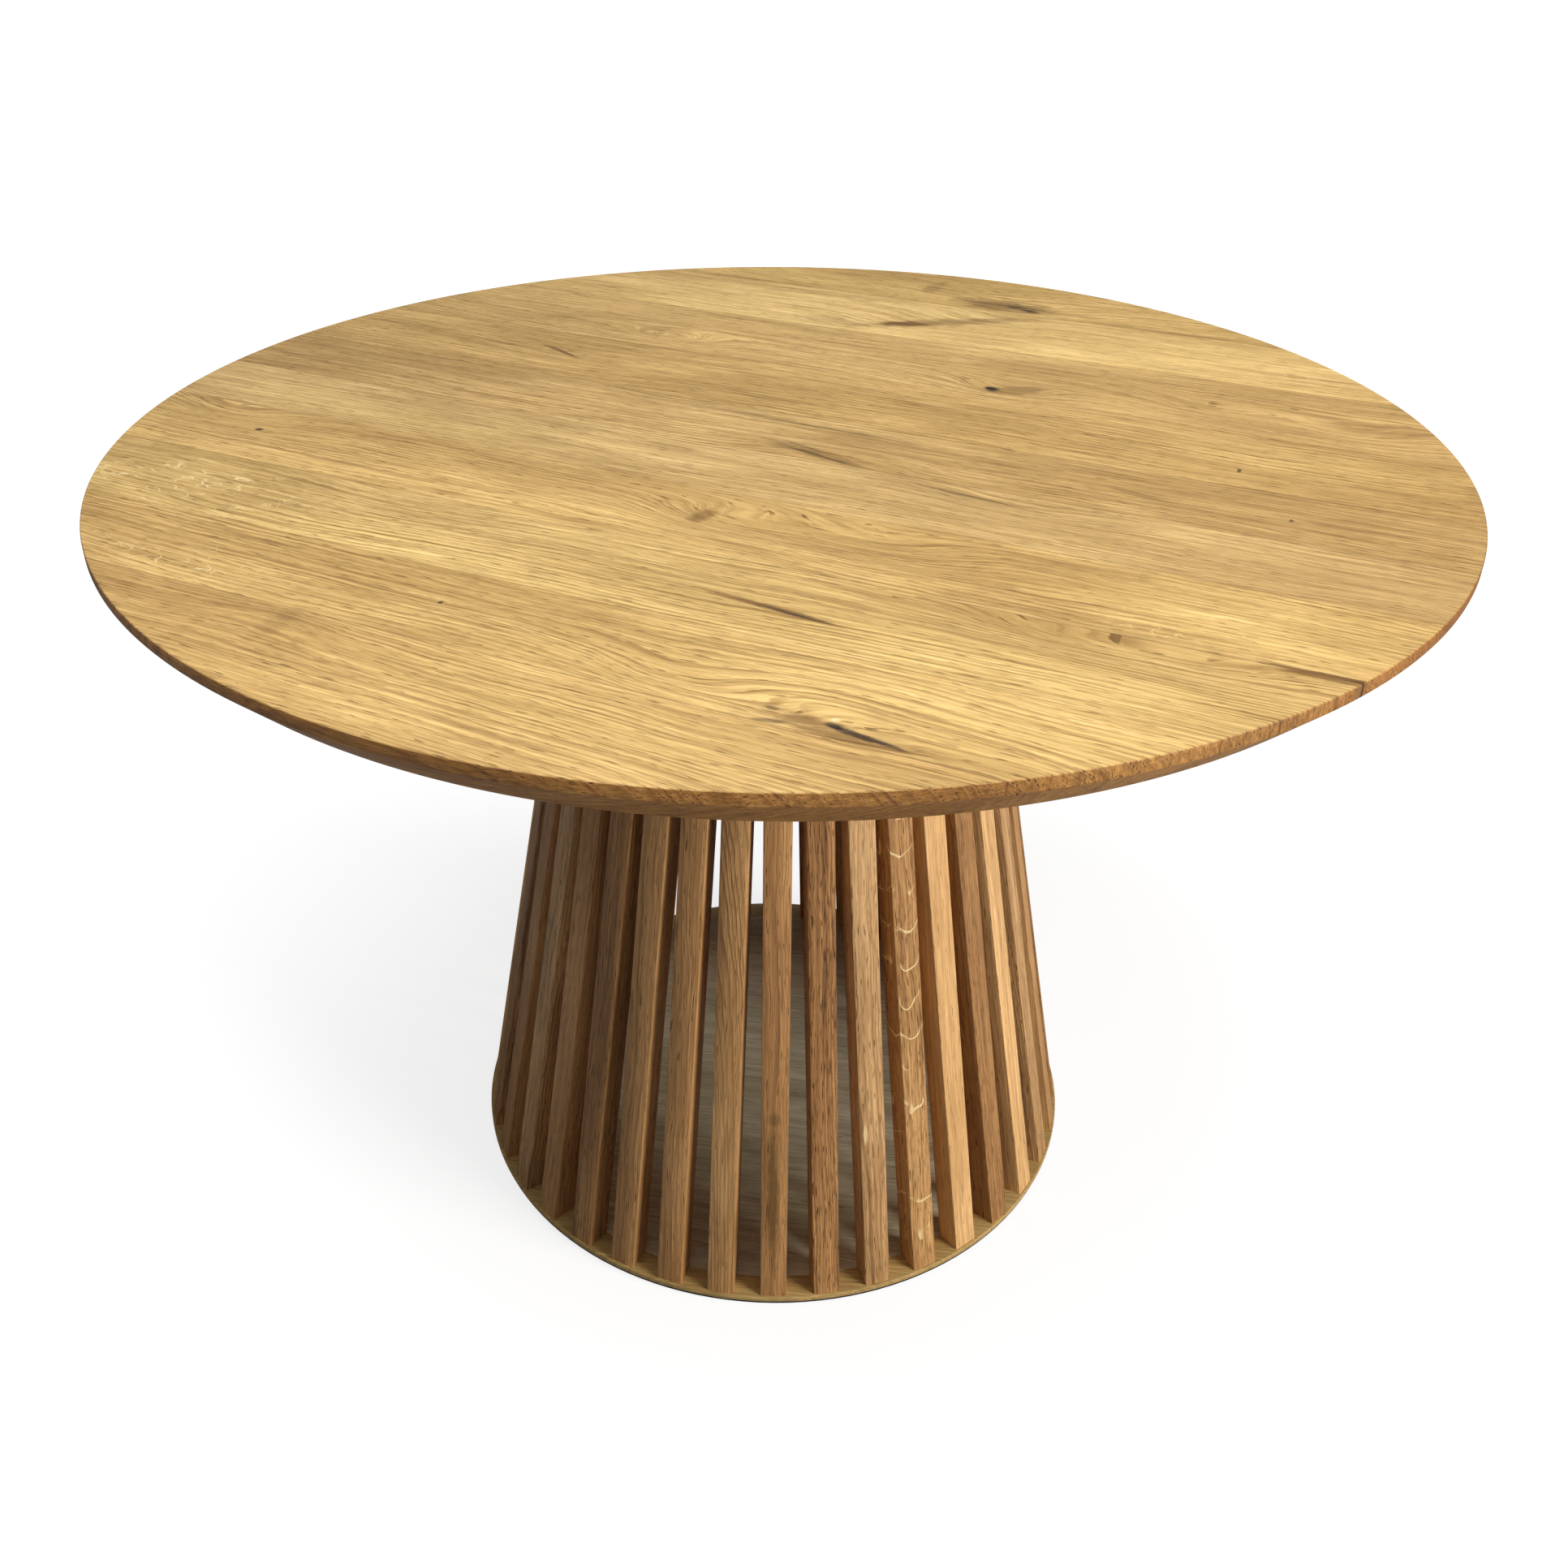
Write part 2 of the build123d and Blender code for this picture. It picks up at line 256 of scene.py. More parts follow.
drift = maths(oak, "SUBTRACT", slow_parts[1], 0.5)
below = maths(oak, "MULTIPLY_ADD", drift, given["Wander"], below)
from_pith = maths(oak, "MULTIPLY_ADD", aside, aside, maths(oak, "MULTIPLY", below, below))
from_pith = maths(oak, "SQRT", from_pith)
from_pith = maths(oak, "MULTIPLY_ADD", maths(oak, "SUBTRACT", quick, 0.5), 0.009, from_pith)
from_pith = maths(oak, "ADD", from_pith, given["Swell"])
years = maths(oak, "DIVIDE", from_pith, given["Ring Width"])
spell_inputs = {"W": maths(oak, "MULTIPLY_ADD", years, 0.21, seed), "Scale": 1.0, "Detail": 1.0}
spell = put(oak, "TexNoise", spell_inputs, noise_dimensions="1D").outputs["Fac"]
years = maths(oak, "MULTIPLY_ADD", spell, 3.2, years)
year = maths(oak, "ADD", maths(oak, "FLOOR", years), seed)
season = maths(oak, "FRACT", years)
vigour = put(oak, "TexWhiteNoise", {"W": year}, noise_dimensions="1D").outputs["Value"]
late = remap(oak, season, 0.42, 0.80)
late = maths(oak, "MULTIPLY", late, remap(oak, season, 0.86, 0.99, 1.0, 0.0))
late = maths(oak, "MULTIPLY", late, remap(oak, vigour, 0.0, 1.0, 0.40, 1.0, smooth=False))
early = maths(oak, "MAXIMUM", remap(oak, season, 0.0, 0.3, 1.0, 0.0), remap(oak, season, 0.9, 1.0))

sideways = maths(oak, "MULTIPLY_ADD", maths(oak, "SUBTRACT", quick, 0.5), 0.009, aside)
sideways = maths(oak, "ADD", sideways, given["Swell"])
flow_inputs = {0: place["X"], 1: sideways, 2: maths(oak, "MULTIPLY", place["Z"], given["Layering"])}
flow = put(oak, "CombineXYZ", flow_inputs).outputs[0]
streak = noise(oak, flow, (4.5, 110.0), seed, 4.0, 0.7)["Fac"]
lines = noise(oak, flow, (9.0, 380.0), maths(oak, "ADD", seed, 7.0), 3.0, 0.7)["Fac"]
broken = noise(oak, flow, (26.0, 420.0), maths(oak, "ADD", seed, 9.0), 2.0)["Fac"]
fibre = noise(oak, given["Vector"], (18.0, 760.0), seed, 3.0, 0.7)["Fac"]
dashes = noise(oak, flow, (60.0, 900.0), seed, 1.0)["Fac"]
pores = maths(oak, "MULTIPLY_ADD", early, 0.8, 0.3)
pores = maths(oak, "MULTIPLY", remap(oak, dashes, 0.55, 0.64), pores)
pores = maths(oak, "MULTIPLY", pores, given["Pores"])
cloud_seed = maths(oak, "ADD", seed, 3.0)
cloud = noise(oak, flow, (2.4, 10.0), cloud_seed, 3.0, 0.6)["Fac"]
region = noise(oak, flow, (3.5, 22.0), maths(oak, "ADD", seed, 5.0), 1.0)["Fac"]

line_share = maths(oak, "MULTIPLY", late, given["Ring Strength"])
line_share = maths(oak, "MULTIPLY", line_share, remap(oak, broken, 0.30, 0.60, 0.45, 1.1))
line_share = maths(oak, "MULTIPLY", line_share, remap(oak, region, 0.30, 0.65, 0.35, 1.0))
tint = blend(oak, remap(oak, cloud, 0.40, 0.60), given["Pale"], given["Mid"])
# Golden zones: partly paler wood, partly painted sheen where the top catches the light.
tint = blend(oak, given["Gold And Painted Sheen"], tint, (0.90, 0.640, 0.235, 1.0))
tint = blend(oak, given["Brown"], tint, given["Dark"])
tint = blend(oak, line_share, tint, given["Dark"])
streak_share = maths(oak, "MULTIPLY", remap(oak, streak, 0.48, 0.74, 0.0, 0.92), given["Streaks"])
tint = blend(oak, streak_share, tint, given["Dark"])
line_shade = maths(oak, "MULTIPLY", remap(oak, lines, 0.28, 0.72, -1.0, 1.0), given["Streaks"])
line_shade = maths(oak, "MULTIPLY_ADD", line_shade, -0.32, 1.0)
shade = maths(oak, "MULTIPLY", line_shade, remap(oak, fibre, 0.25, 0.75, 0.82, 1.18))
shade = maths(oak, "MULTIPLY", shade, remap(oak, pores, 0.0, 1.0, 1.0, 0.40))
shade = maths(oak, "MULTIPLY", shade, remap(oak, given["Glue"], 0.0, 1.0, 1.0, 0.78))
green, blue = maths(oak, "POWER", shade, 1.15), maths(oak, "POWER", shade, 1.40)
shaded = put(oak, "CombineColor", {0: shade, 1: green, 2: blue})
tint = blend(oak, 1.0, tint, shaded.outputs[0], "MULTIPLY")
# Real end grain, and painted shade on the rim and undercut, darken the wood towards deep brown.
tint = blend(oak, given["End Grain And Painted Shade"], tint, (0.50, 0.280, 0.095, 1.0), "MULTIPLY")
patchy = maths(oak, "MULTIPLY", given["Stain"], remap(oak, streak, 0.25, 0.65, 0.50, 1.15))
tint = blend(oak, patchy, tint, (0.20, 0.098, 0.026, 1.0))
tint = blend(oak, given["Knot"], tint, (0.030, 0.015, 0.008, 1.0))
tint = blend(oak, given["Fleck"], tint, (0.90, 0.68, 0.34, 1.0))
oak.links.new(tint, made["Color"])
gloss = maths(oak, "MULTIPLY_ADD", late, 0.06, 0.43)
gloss = maths(oak, "MULTIPLY_ADD", pores, 0.2, gloss)
gloss = maths(oak, "MULTIPLY_ADD", fibre, 0.08, gloss)
oak.links.new(maths(oak, "MULTIPLY_ADD", given["Knot"], 0.15, gloss), made["Roughness"])
relief = maths(oak, "MULTIPLY_ADD", late, 0.35, maths(oak, "MULTIPLY", fibre, 0.3))
relief = maths(oak, "MULTIPLY_ADD", lines, -0.4, relief)
relief = maths(oak, "MULTIPLY_ADD", pores, -1.2, relief)
relief = maths(oak, "MULTIPLY_ADD", given["Knot"], -0.8, relief)
oak.links.new(maths(oak, "MULTIPLY_ADD", given["Glue"], -0.5, relief), made["Height"])

# A mark on a board: a soft-edged, wavering oval, as shares from 0 to 1. Core is the oval
# itself, Swell a wide dome over it, Splits are cracks that run along the grain in it, Rays
# are fine pale curls where the cut meets the wood's rays, and Arcs are broad ones on a bar.
mark, given, made = new_group(
    "grain_mark",
    values=(
        ("Seed", 0.0), ("Along", 0.0), ("Across", 0.0), ("Length", 0.05), ("Width", 0.01),
        ("Turn", 0.0),
    ),
    results=[(title, "Float") for title in ("Core", "Swell", "Splits", "Rays", "Arcs")],
)
ragged = noise(mark, given["Vector"], (36.0, 120.0), given["Seed"], 4.0, 0.7)
ragged_parts = put(mark, "SeparateColor", {0: ragged["Color"]}).outputs
place = put(mark, "SeparateXYZ", {0: given["Vector"]}).outputs
run = maths(mark, "SUBTRACT", place["X"], given["Along"])
rise = maths(mark, "SUBTRACT", place["Y"], given["Across"])
rise = maths(mark, "MULTIPLY_ADD", run, given["Turn"], rise)
bowed = maths(mark, "MULTIPLY", rise, rise)
bowed = maths(mark, "MULTIPLY", bowed, -1600.0)
arc_phase = maths(mark, "MULTIPLY_ADD", run, 27.0, bowed)
run = maths(mark, "DIVIDE", run, given["Length"])
rise = maths(mark, "DIVIDE", rise, given["Width"])
smooth_square = maths(mark, "MULTIPLY_ADD", run, run, maths(mark, "MULTIPLY", rise, rise))
dome = maths(mark, "EXPONENT", maths(mark, "MULTIPLY", smooth_square, -0.9))
mark.links.new(dome, made["Swell"])
run = maths(mark, "MULTIPLY_ADD", maths(mark, "SUBTRACT", ragged_parts[0], 0.5), 1.5, run)
rise = maths(mark, "MULTIPLY_ADD", maths(mark, "SUBTRACT", ragged_parts[1], 0.5), 2.0, rise)
rough_square = maths(mark, "MULTIPLY_ADD", run, run, maths(mark, "MULTIPLY", rise, rise))
core = remap(mark, maths(mark, "SQRT", rough_square), 0.45, 1.2, 1.0, 0.0)
mark.links.new(core, made["Core"])
veins = noise(mark, given["Vector"], (22.0, 210.0), given["Seed"], 4.0, 0.7)["Fac"]
mark.links.new(maths(mark, "MULTIPLY", core, remap(mark, veins, 0.55, 0.60)), made["Splits"])
patches_noise = noise(mark, given["Vector"], (30.0, 45.0), given["Seed"], 1.0)["Fac"]
patches = remap(mark, patches_noise, 0.46, 0.56)
curls = noise(mark, given["Vector"], (38.0, 60.0), given["Seed"], 2.0, 0.5)["Fac"]
curls = maths(mark, "ABSOLUTE", maths(mark, "SUBTRACT", curls, 0.5))
curls = maths(mark, "MULTIPLY", remap(mark, curls, 0.005, 0.022, 1.0, 0.0), patches)
mark.links.new(maths(mark, "MULTIPLY", core, curls), made["Rays"])
arc_phase = maths(mark, "MULTIPLY_ADD", patches_noise, 1.8, arc_phase)
arcs = maths(mark, "ABSOLUTE", maths(mark, "SUBTRACT", maths(mark, "FRACT", arc_phase), 0.5))
arcs = maths(mark, "MULTIPLY", remap(mark, arcs, 0.015, 0.055, 1.0, 0.0), patches)
mark.links.new(maths(mark, "MULTIPLY", core, arcs), made["Arcs"])


def wood_tones(pale, mid, dark):
    """Three tones, as the oak group takes them."""
    return {"Pale": (*pale, 1.0), "Mid": (*mid, 1.0), "Dark": (*dark, 1.0)}


def board_coordinates(tree):
    """Object coordinates turned so that X runs along the top's grain, and Z starts at its face."""
    inputs = {
        "Vector": put(tree, "TexCoord").outputs["Object"],
        "Location": (0, 0, -table_height),
        "Rotation": (0, 0, -grain_angle),
    }
    return put(tree, "Mapping", inputs).outputs["Vector"]


# What each kind of mark takes from its group, and what it feeds in the wood.
mark_kinds = {
    "Swell": ("Swell", "Swell"),
    # Golden zones are partly paler wood and partly painted sheen.
    "Gold And Painted Sheen": ("Swell", "Gold And Painted Sheen"),
    "Brown": ("Swell", "Brown"),
    "Stain": ("Core", "Stain"),
    "Hole": ("Core", "Knot"),
    "Splits": ("Splits", "Knot"),
    "Rays": ("Rays", "Fleck"),
    "Arcs": ("Arcs", "Fleck"),
    "Dot": ("Core", "Fleck"),
}


def oiled_board(name, vector_of, look, marks=(), seams=None, end_direction=None):
    """An oak material: its own rings and tones, with its knots, stains and flecks."""
    finish, tree, shader = new_finish(name)
    vector = vector_of(tree)
    wood = put(tree, "Group", node_tree=oak)
    tree.links.new(vector, wood.inputs["Vector"])
    for title, value in look.items():
        wood.inputs[title].default_value = value
    sums = {}
    for number, (kind, strength, *shape) in enumerate(marks):
        spot = put(tree, "Group", node_tree=mark)
        tree.links.new(vector, spot.inputs["Vector"])
        spot.inputs["Seed"].default_value = look["Seed"] + 5.0 * number
        for title, value in zip(("Along", "Across", "Length", "Width", "Turn"), shape):
            spot.inputs[title].default_value = value
        result, target = mark_kinds[kind]
        share = maths(tree, "MULTIPLY", spot.outputs[result], strength)
        sums[target] = maths(tree, "ADD", sums[target], share) if target in sums else share
    for target, total in sums.items():
        tree.links.new(total, wood.inputs[target])
    if end_direction:
        normal = put(tree, "TexCoord").outputs["Normal"]
        facing = put(tree, "VectorMath", {0: normal, 1: end_direction}, operation="DOT_PRODUCT")
        end = maths(tree, "ABSOLUTE", facing.outputs["Value"])
        # Faces that do not face up, the rim and the undercut, are darkened by their facing: painted
        # shade, added to the real end grain.
        upward = put(tree, "SeparateXYZ", {0: normal}).outputs["Z"]
        edge = remap(tree, upward, 0.35, 0.9, 0.8, 0.0)
        tree.links.new(maths(tree, "MAXIMUM", end, edge), wood.inputs["End Grain And Painted Shade"])
    if seams:
        here = put(tree, "SeparateXYZ", {0: vector}).outputs["Y"]
        gaps = [maths(tree, "ABSOLUTE", maths(tree, "SUBTRACT", here, seam)) for seam in seams]
        nearest = maths(tree, "MINIMUM", gaps[0], gaps[-1])
        tree.links.new(remap(tree, nearest, 0.0002, 0.0009, 1.0, 0.0), wood.inputs["Glue"])
    join_up(tree, wood, shader, strength=0.5, distance=0.0012)
    shader.inputs["Specular IOR Level"].default_value = 0.35
    shader.inputs["Coat Weight"].default_value = 0.08
    shader.inputs["Coat Roughness"].default_value = 0.3
    return finish


# The boards in the order in which they are glued: where each one's pith lay, across from the
# board's middle and in depth, and its slope, then the rings' width and strength.
board_piths = (
    (-0.15, -0.05, 0.02, 0.0046, 0.95),
    (-0.12, -0.07, 0.04, 0.005, 0.95),
    (-0.18, -0.04, 0.015, 0.005, 1.),
    (-0.1, -0.07, 0.05, 0.0046, 0.9),
    (-0.16, -0.05, 0.02, 0.004, 0.9),
    (-0.13, -0.04, 0.03, 0.004, 0.9),
    (-0.17, -0.08, 0.03, 0.0038, 0.9),
    (-0.11, -0.07, 0.04, 0.004, 0.9),
    (-0.22, -0.04, 0.015, 0.004, 0.56),
    (-0.12, -0.07, 0.04, 0.0042, 0.84),
)
# Each board's pale, middle and dark tone.
board_tones = (
    ((0.748, 0.488, 0.181), (0.571, 0.354, 0.122), (0.310, 0.165, 0.046)),
    ((0.772, 0.515, 0.192), (0.584, 0.373, 0.128), (0.311, 0.169, 0.047)),
    ((0.750, 0.514, 0.195), (0.583, 0.384, 0.136), (0.304, 0.168, 0.047)),
    ((0.745, 0.494, 0.183), (0.559, 0.354, 0.123), (0.308, 0.167, 0.049)),
    ((0.756, 0.516, 0.211), (0.587, 0.386, 0.149), (0.322, 0.178, 0.057)),
    ((0.667, 0.439, 0.170), (0.524, 0.332, 0.118), (0.291, 0.153, 0.046)),
    ((0.699, 0.459, 0.168), (0.545, 0.345, 0.117), (0.301, 0.161, 0.047)),
    ((0.746, 0.494, 0.187), (0.584, 0.373, 0.133), (0.312, 0.172, 0.051)),
    ((0.877, 0.612, 0.242), (0.713, 0.475, 0.174), (0.427, 0.247, 0.078)),
    ((0.783, 0.525, 0.187), (0.608, 0.387, 0.124), (0.331, 0.177, 0.050)),
)
# Knots, cracks, stains and flecks, zones of darker wood, and golden zones that are partly paler
# wood and partly painted sheen: (board, kind, strength, place along and across the grain, half
# length, half width, and a turn if it has one), in metres.
board_marks = (
    (1, "Stain", 0.3, -0.225, -0.462, 0.13, 0.01, 0.05),
    (1, "Stain", 0.3, -0.155, -0.48, 0.012, 0.026),
    (1, "Swell", -0.012, -0.16, -0.478, 0.06, 0.03),
    (1, "Gold And Painted Sheen", 0.35, 0.12, -0.5, 0.16, 0.04),
    (2, "Stain", 0.75, 0.235, -0.446, 0.05, 0.01, 0.1),
    (2, "Hole", 0.9, 0.262, -0.4455, 0.028, 0.0036, 0.15),
    (2, "Hole", 0.8, 0.238, -0.44, 0.007, 0.005),
    (2, "Hole", 0.6, 0.2, -0.452, 0.012, 0.003, -0.2),
    (2, "Hole", 0.6, 0.196, -0.437, 0.006, 0.0028),
    (2, "Dot", 0.9, 0.2365, -0.4335, 0.0028, 0.0022),
    (2, "Swell", 0.022, 0.215, -0.448, 0.075, 0.02),
    (2, "Swell", 0.02, 0.12, -0.425, 0.06, 0.03),
    (2, "Rays", 0.8, -0.3, -0.425, 0.09, 0.026),
    (2, "Hole", 0.85, -0.074, -0.403, 0.002, 0.0025),
    (2, "Gold And Painted Sheen", 0.45, 0.3, -0.395, 0.18, 0.03),
    (3, "Brown", 0.4, 0.385, -0.256, 0.15, 0.012),
    (3, "Swell", 0.026, 0.37, -0.268, 0.13, 0.02),
    (3, "Stain", 0.8, 0.135, -0.311, 0.06, 0.004, 0.1),
    (3, "Hole", 0.7, 0.155, -0.3135, 0.032, 0.002, 0.1),
    (3, "Rays", 0.95, -0.385, -0.31, 0.11, 0.05),
    (3, "Gold And Painted Sheen", 0.45, 0.27, -0.325, 0.23, 0.03),
    (3, "Gold And Painted Sheen", 0.4, -0.2, -0.34, 0.2, 0.018),
    (3, "Swell", 0.018, -0.214, -0.225, 0.075, 0.04),
    (3, "Stain", 0.95, 0.5, -0.249, 0.05, 0.0034),
    (4, "Stain", 0.75, 0.02, -0.188, 0.01, 0.016, -0.2),
    (4, "Swell", 0.03, 0.04, -0.188, 0.06, 0.026),
    (4, "Swell", 0.03, 0.15, -0.18, 0.075, 0.034),
    (4, "Stain", 0.95, 0.5, -0.245, 0.05, 0.0034),
    (4, "Brown", 0.35, 0.34, -0.236, 0.13, 0.012),
    (4, "Hole", 0.9, -0.42, -0.186, 0.0045, 0.003),
    (4, "Swell", 0.03, -0.48, -0.16, 0.085, 0.032),
    (4, "Stain", 0.3, -0.18, -0.148, 0.11, 0.006),
    (4, "Gold And Painted Sheen", 0.55, 0.44, -0.19, 0.1, 0.05),
    (4, "Rays", 0.45, 0.4, -0.215, 0.06, 0.026),
    (5, "Stain", 0.35, 0.2, -0.06, 0.075, 0.0045, 0.12),
    (5, "Hole", 0.5, 0.2, -0.06, 0.05, 0.0018, 0.12),
    (5, "Gold And Painted Sheen", 0.3, -0.33, -0.11, 0.14, 0.02),
    (5, "Swell", 0.012, 0.24, -0.065, 0.06, 0.02),
    (6, "Stain", 0.55, 0.045, -0.026, 0.062, 0.01, 0.18),
    (6, "Hole", 0.6, 0.05, -0.029, 0.045, 0.0024, 0.25),
    (6, "Hole", 0.5, 0.025, -0.013, 0.03, 0.0016, 0.25),
    (6, "Stain", 0.45, 0.315, 0.003, 0.03, 0.006, 0.25),
    (6, "Stain", 0.3, -0.01, 0.036, 0.17, 0.005, 0.04),
    (6, "Hole", 0.4, 0.01, 0.036, 0.12, 0.0016, 0.04),
    (6, "Hole", 0.7, 0.434, 0.002, 0.002, 0.0035),
    (6, "Swell", -0.016, 0.06, -0.02, 0.07, 0.02),
    (6, "Stain", 0.35, -0.53, 0.0, 0.05, 0.006, 0.1),
    (7, "Stain", 0.6, -0.306, 0.128, 0.036, 0.0045, 0.45),
    (7, "Hole", 0.6, -0.3, 0.126, 0.024, 0.0018, 0.45),
    (7, "Hole", 0.8, 0.377, 0.092, 0.002, 0.0045),
    (7, "Brown", 0.3, -0.44, 0.06, 0.11, 0.016),
    (7, "Gold And Painted Sheen", 0.22, 0.42, 0.13, 0.12, 0.03),
    (8, "Hole", 1.0, 0.126, 0.203, 0.0085, 0.0065, 0.2),
    (8, "Stain", 0.7, 0.15, 0.21, 0.03, 0.015, -0.35),
    (8, "Swell", 0.026, 0.14, 0.206, 0.05, 0.024),
    (8, "Swell", 0.034, -0.225, 0.216, 0.06, 0.02),
    (8, "Swell", 0.028, 0.33, 0.23, 0.07, 0.03),
    (8, "Swell", 0.036, 0.45, 0.22, 0.075, 0.036),
    (8, "Brown", 0.25, -0.1, 0.175, 0.16, 0.016),
    (8, "Stain", 0.35, -0.39, 0.312, 0.02, 0.003, 0.3),
    (9, "Stain", 0.6, 0.01, 0.388, 0.085, 0.017, -0.62),
    (9, "Stain", 0.55, -0.025, 0.366, 0.03, 0.01, -0.45),
    (9, "Stain", 0.3, -0.1, 0.345, 0.05, 0.02),
    (9, "Swell", 0.022, 0.0, 0.38, 0.11, 0.04, -0.5),
    (9, "Rays", 0.32, 0.33, 0.35, 0.14, 0.03),
    # A thin golden line just beside the seam with board 8: a painted highlight.
    (9, "Gold And Painted Sheen", 0.55, 0.12, 0.329, 0.46, 0.007),
    (9, "Gold And Painted Sheen", 0.35, 0.23, 0.39, 0.18, 0.04),
    (9, "Brown", 0.3, -0.18, 0.44, 0.2, 0.01),
    (10, "Stain", 0.85, 0.05, 0.478, 0.062, 0.022),
    (10, "Splits", 0.8, 0.05, 0.476, 0.055, 0.02),
    (10, "Hole", 0.7, 0.084, 0.469, 0.012, 0.006, 0.2),
    (10, "Stain", 0.45, 0.13, 0.474, 0.035, 0.006),
    (10, "Swell", 0.03, 0.055, 0.477, 0.1, 0.032),
    (10, "Stain", 0.45, -0.045, 0.515, 0.012, 0.024, -0.4),
    (10, "Stain", 0.4, -0.23, 0.459, 0.12, 0.004),
    (10, "Stain", 0.4, 0.23, 0.457, 0.13, 0.004),
    (10, "Gold And Painted Sheen", 0.3, -0.23, 0.5, 0.14, 0.026),
)



def settle():
    """Put the active piece's place, turn and size into its mesh."""
    bpy.ops.object.transform_apply(location=True, rotation=True, scale=True)


def round_bar(vertices, radius, low, high):
    """A cylinder on the table's axis between two heights, to be shaped further."""
    bpy.ops.object.select_all(action="DESELECT")
    bpy.ops.mesh.primitive_cylinder_add(
        vertices=vertices,
        radius=radius,
        depth=high - low,
        location=(0, 0, (high + low) / 2),
    )
    settle()
    return bpy.context.object


def select_only(piece):
    """Make one piece the active one and the only one selected."""
    bpy.ops.object.select_all(action="DESELECT")
    bpy.context.view_layer.objects.active = piece
    piece.select_set(True)


def joined(pieces):
    """Join pieces into one, which takes the place of the first."""
    select_only(pieces[0])
    for piece in pieces:
        piece.select_set(True)
    bpy.ops.object.join()
    return bpy.context.object


def copy_of(piece):
    """A copy with a mesh of its own, put in the scene."""
    made = piece.copy()
    made.data = piece.data.copy()
    bpy.context.scene.collection.objects.link(made)
    return made


def edit(piece):
    """Open one piece in edit mode with nothing in it selected."""
    select_only(piece)
    bpy.ops.object.mode_set(mode="EDIT")
    bpy.ops.mesh.select_all(action="DESELECT")


def pick(piece, domain, wanted):
    """Select the vertices, edges or faces for which wanted is true, in edit mode."""
    mesh = bmesh.from_edit_mesh(piece.data)
    modes = [domain == each for each in ("verts", "edges", "faces")]
    bpy.context.tool_settings.mesh_select_mode = modes
    for element in getattr(mesh, domain):
        element.select_set(bool(wanted(element)))
    mesh.select_flush_mode()
    bmesh.update_edit_mesh(piece.data)


def close_edit():
    bpy.ops.object.mode_set(mode="OBJECT")


def cut(piece, plane_point, plane_normal, **options):
    """Bisect the whole piece by a plane, in edit mode."""
    bpy.ops.mesh.select_all(action="SELECT")
    bpy.ops.mesh.bisect(plane_co=plane_point, plane_no=plane_normal, **options)
    bpy.ops.mesh.select_all(action="DESELECT")


def level_edge(height, radius):
    """True for an edge of the outline ring at this height and radius."""
    def wanted(edge):
        ends = [v.co for v in edge.verts]
        level = all(abs(end.z - height) < 1e-5 for end in ends)
        return level and all(abs(end.to_2d().length - radius) < 1e-3 for end in ends)
    return wanted


def round_over(piece, height, radius, offset, segments):
    """Round the outline edge at a height and radius, in edit mode."""
    pick(piece, "edges", level_edge(height, radius))
    bpy.ops.mesh.bevel(offset=offset, segments=segments, affect="EDGES", clamp_overlap=False)


# The blank: one disc with the rim's outline, from which every stave is cut.
blank = round_bar(rim_facets, top_radius, underside_z, table_height)
blank.name = "top_blank"
edit(blank)
cut(blank, (0, 0, table_height - edge_height), (0, 0, 1))
pick(blank, "verts", lambda v: v.co.z < underside_z + 1e-5)
shrink = (top_radius - bevel_reach) / top_radius
bpy.ops.transform.resize(value=(shrink, shrink, 1.0), center_override=(0, 0, underside_z))
round_over(blank, table_height, top_radius, offset=0.0014, segments=3)
round_over(blank, table_height - edge_height, top_radius, offset=0.0008, segments=2)
round_over(blank, underside_z, top_radius - bevel_reach, offset=0.0020, segments=3)
close_edit()

# Cutters: the grooves for the two channels, and the wedge of the open glue line.
channel_names = ("stiffener_channel_left", "stiffener_channel_right")
groove_play = 0.0005
groove_cutter_height = 0.030
cutters = []
for channel in channel_names:
    low_along, high_along = reach(channel, along)
    low_across, high_across = reach(channel, across)
    groove_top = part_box(channel)[1].z
    bpy.ops.mesh.primitive_cube_add(size=1.0)
    cutter = bpy.context.object
    cutter.scale = (
        high_along - low_along + groove_play,
        high_across - low_across + groove_play,
        groove_cutter_height,
    )
    cutter.rotation_euler = (0, 0, grain_angle)
    middle = along * (low_along + high_along) / 2 + across * (low_across + high_across) / 2
    cutter.location = middle + Vector((0, 0, groove_top + 0.0001 - groove_cutter_height / 2))
    cutters.append(cutter)
groove_cutter = joined(cutters)
settle()


def carve(piece, cutter):
    """Take the cutter's shape out of the piece."""
    select_only(piece)
    modifier = piece.modifiers.new("carve", "BOOLEAN")
    modifier.operation = "DIFFERENCE"
    modifier.solver = "EXACT"
    modifier.object = cutter
    bpy.ops.object.modifier_apply(modifier=modifier.name)


gap_stave = "top_stave_04"
gap_length = 0.016
gap_width = 0.002
gap_near = reach(gap_stave, across)[0]
gap_end = (top_radius**2 - gap_near**2) ** 0.5 + 0.002
gap_cutter = round_bar(3, gap_width, table_height - 0.05, table_height + 0.05)
corners = ((gap_end - gap_length, 0.0), (gap_end, 0.0), (gap_end, gap_width))
for vertex in gap_cutter.data.vertices:
    corner = corners[vertex.index // 2]
    spot = along * corner[0] + across * (gap_near + corner[1])
    vertex.co.x, vertex.co.y = spot.x, spot.y
edit(gap_cutter)
bpy.ops.mesh.select_all(action="SELECT")
bpy.ops.mesh.normals_make_consistent(inside=False)
close_edit()

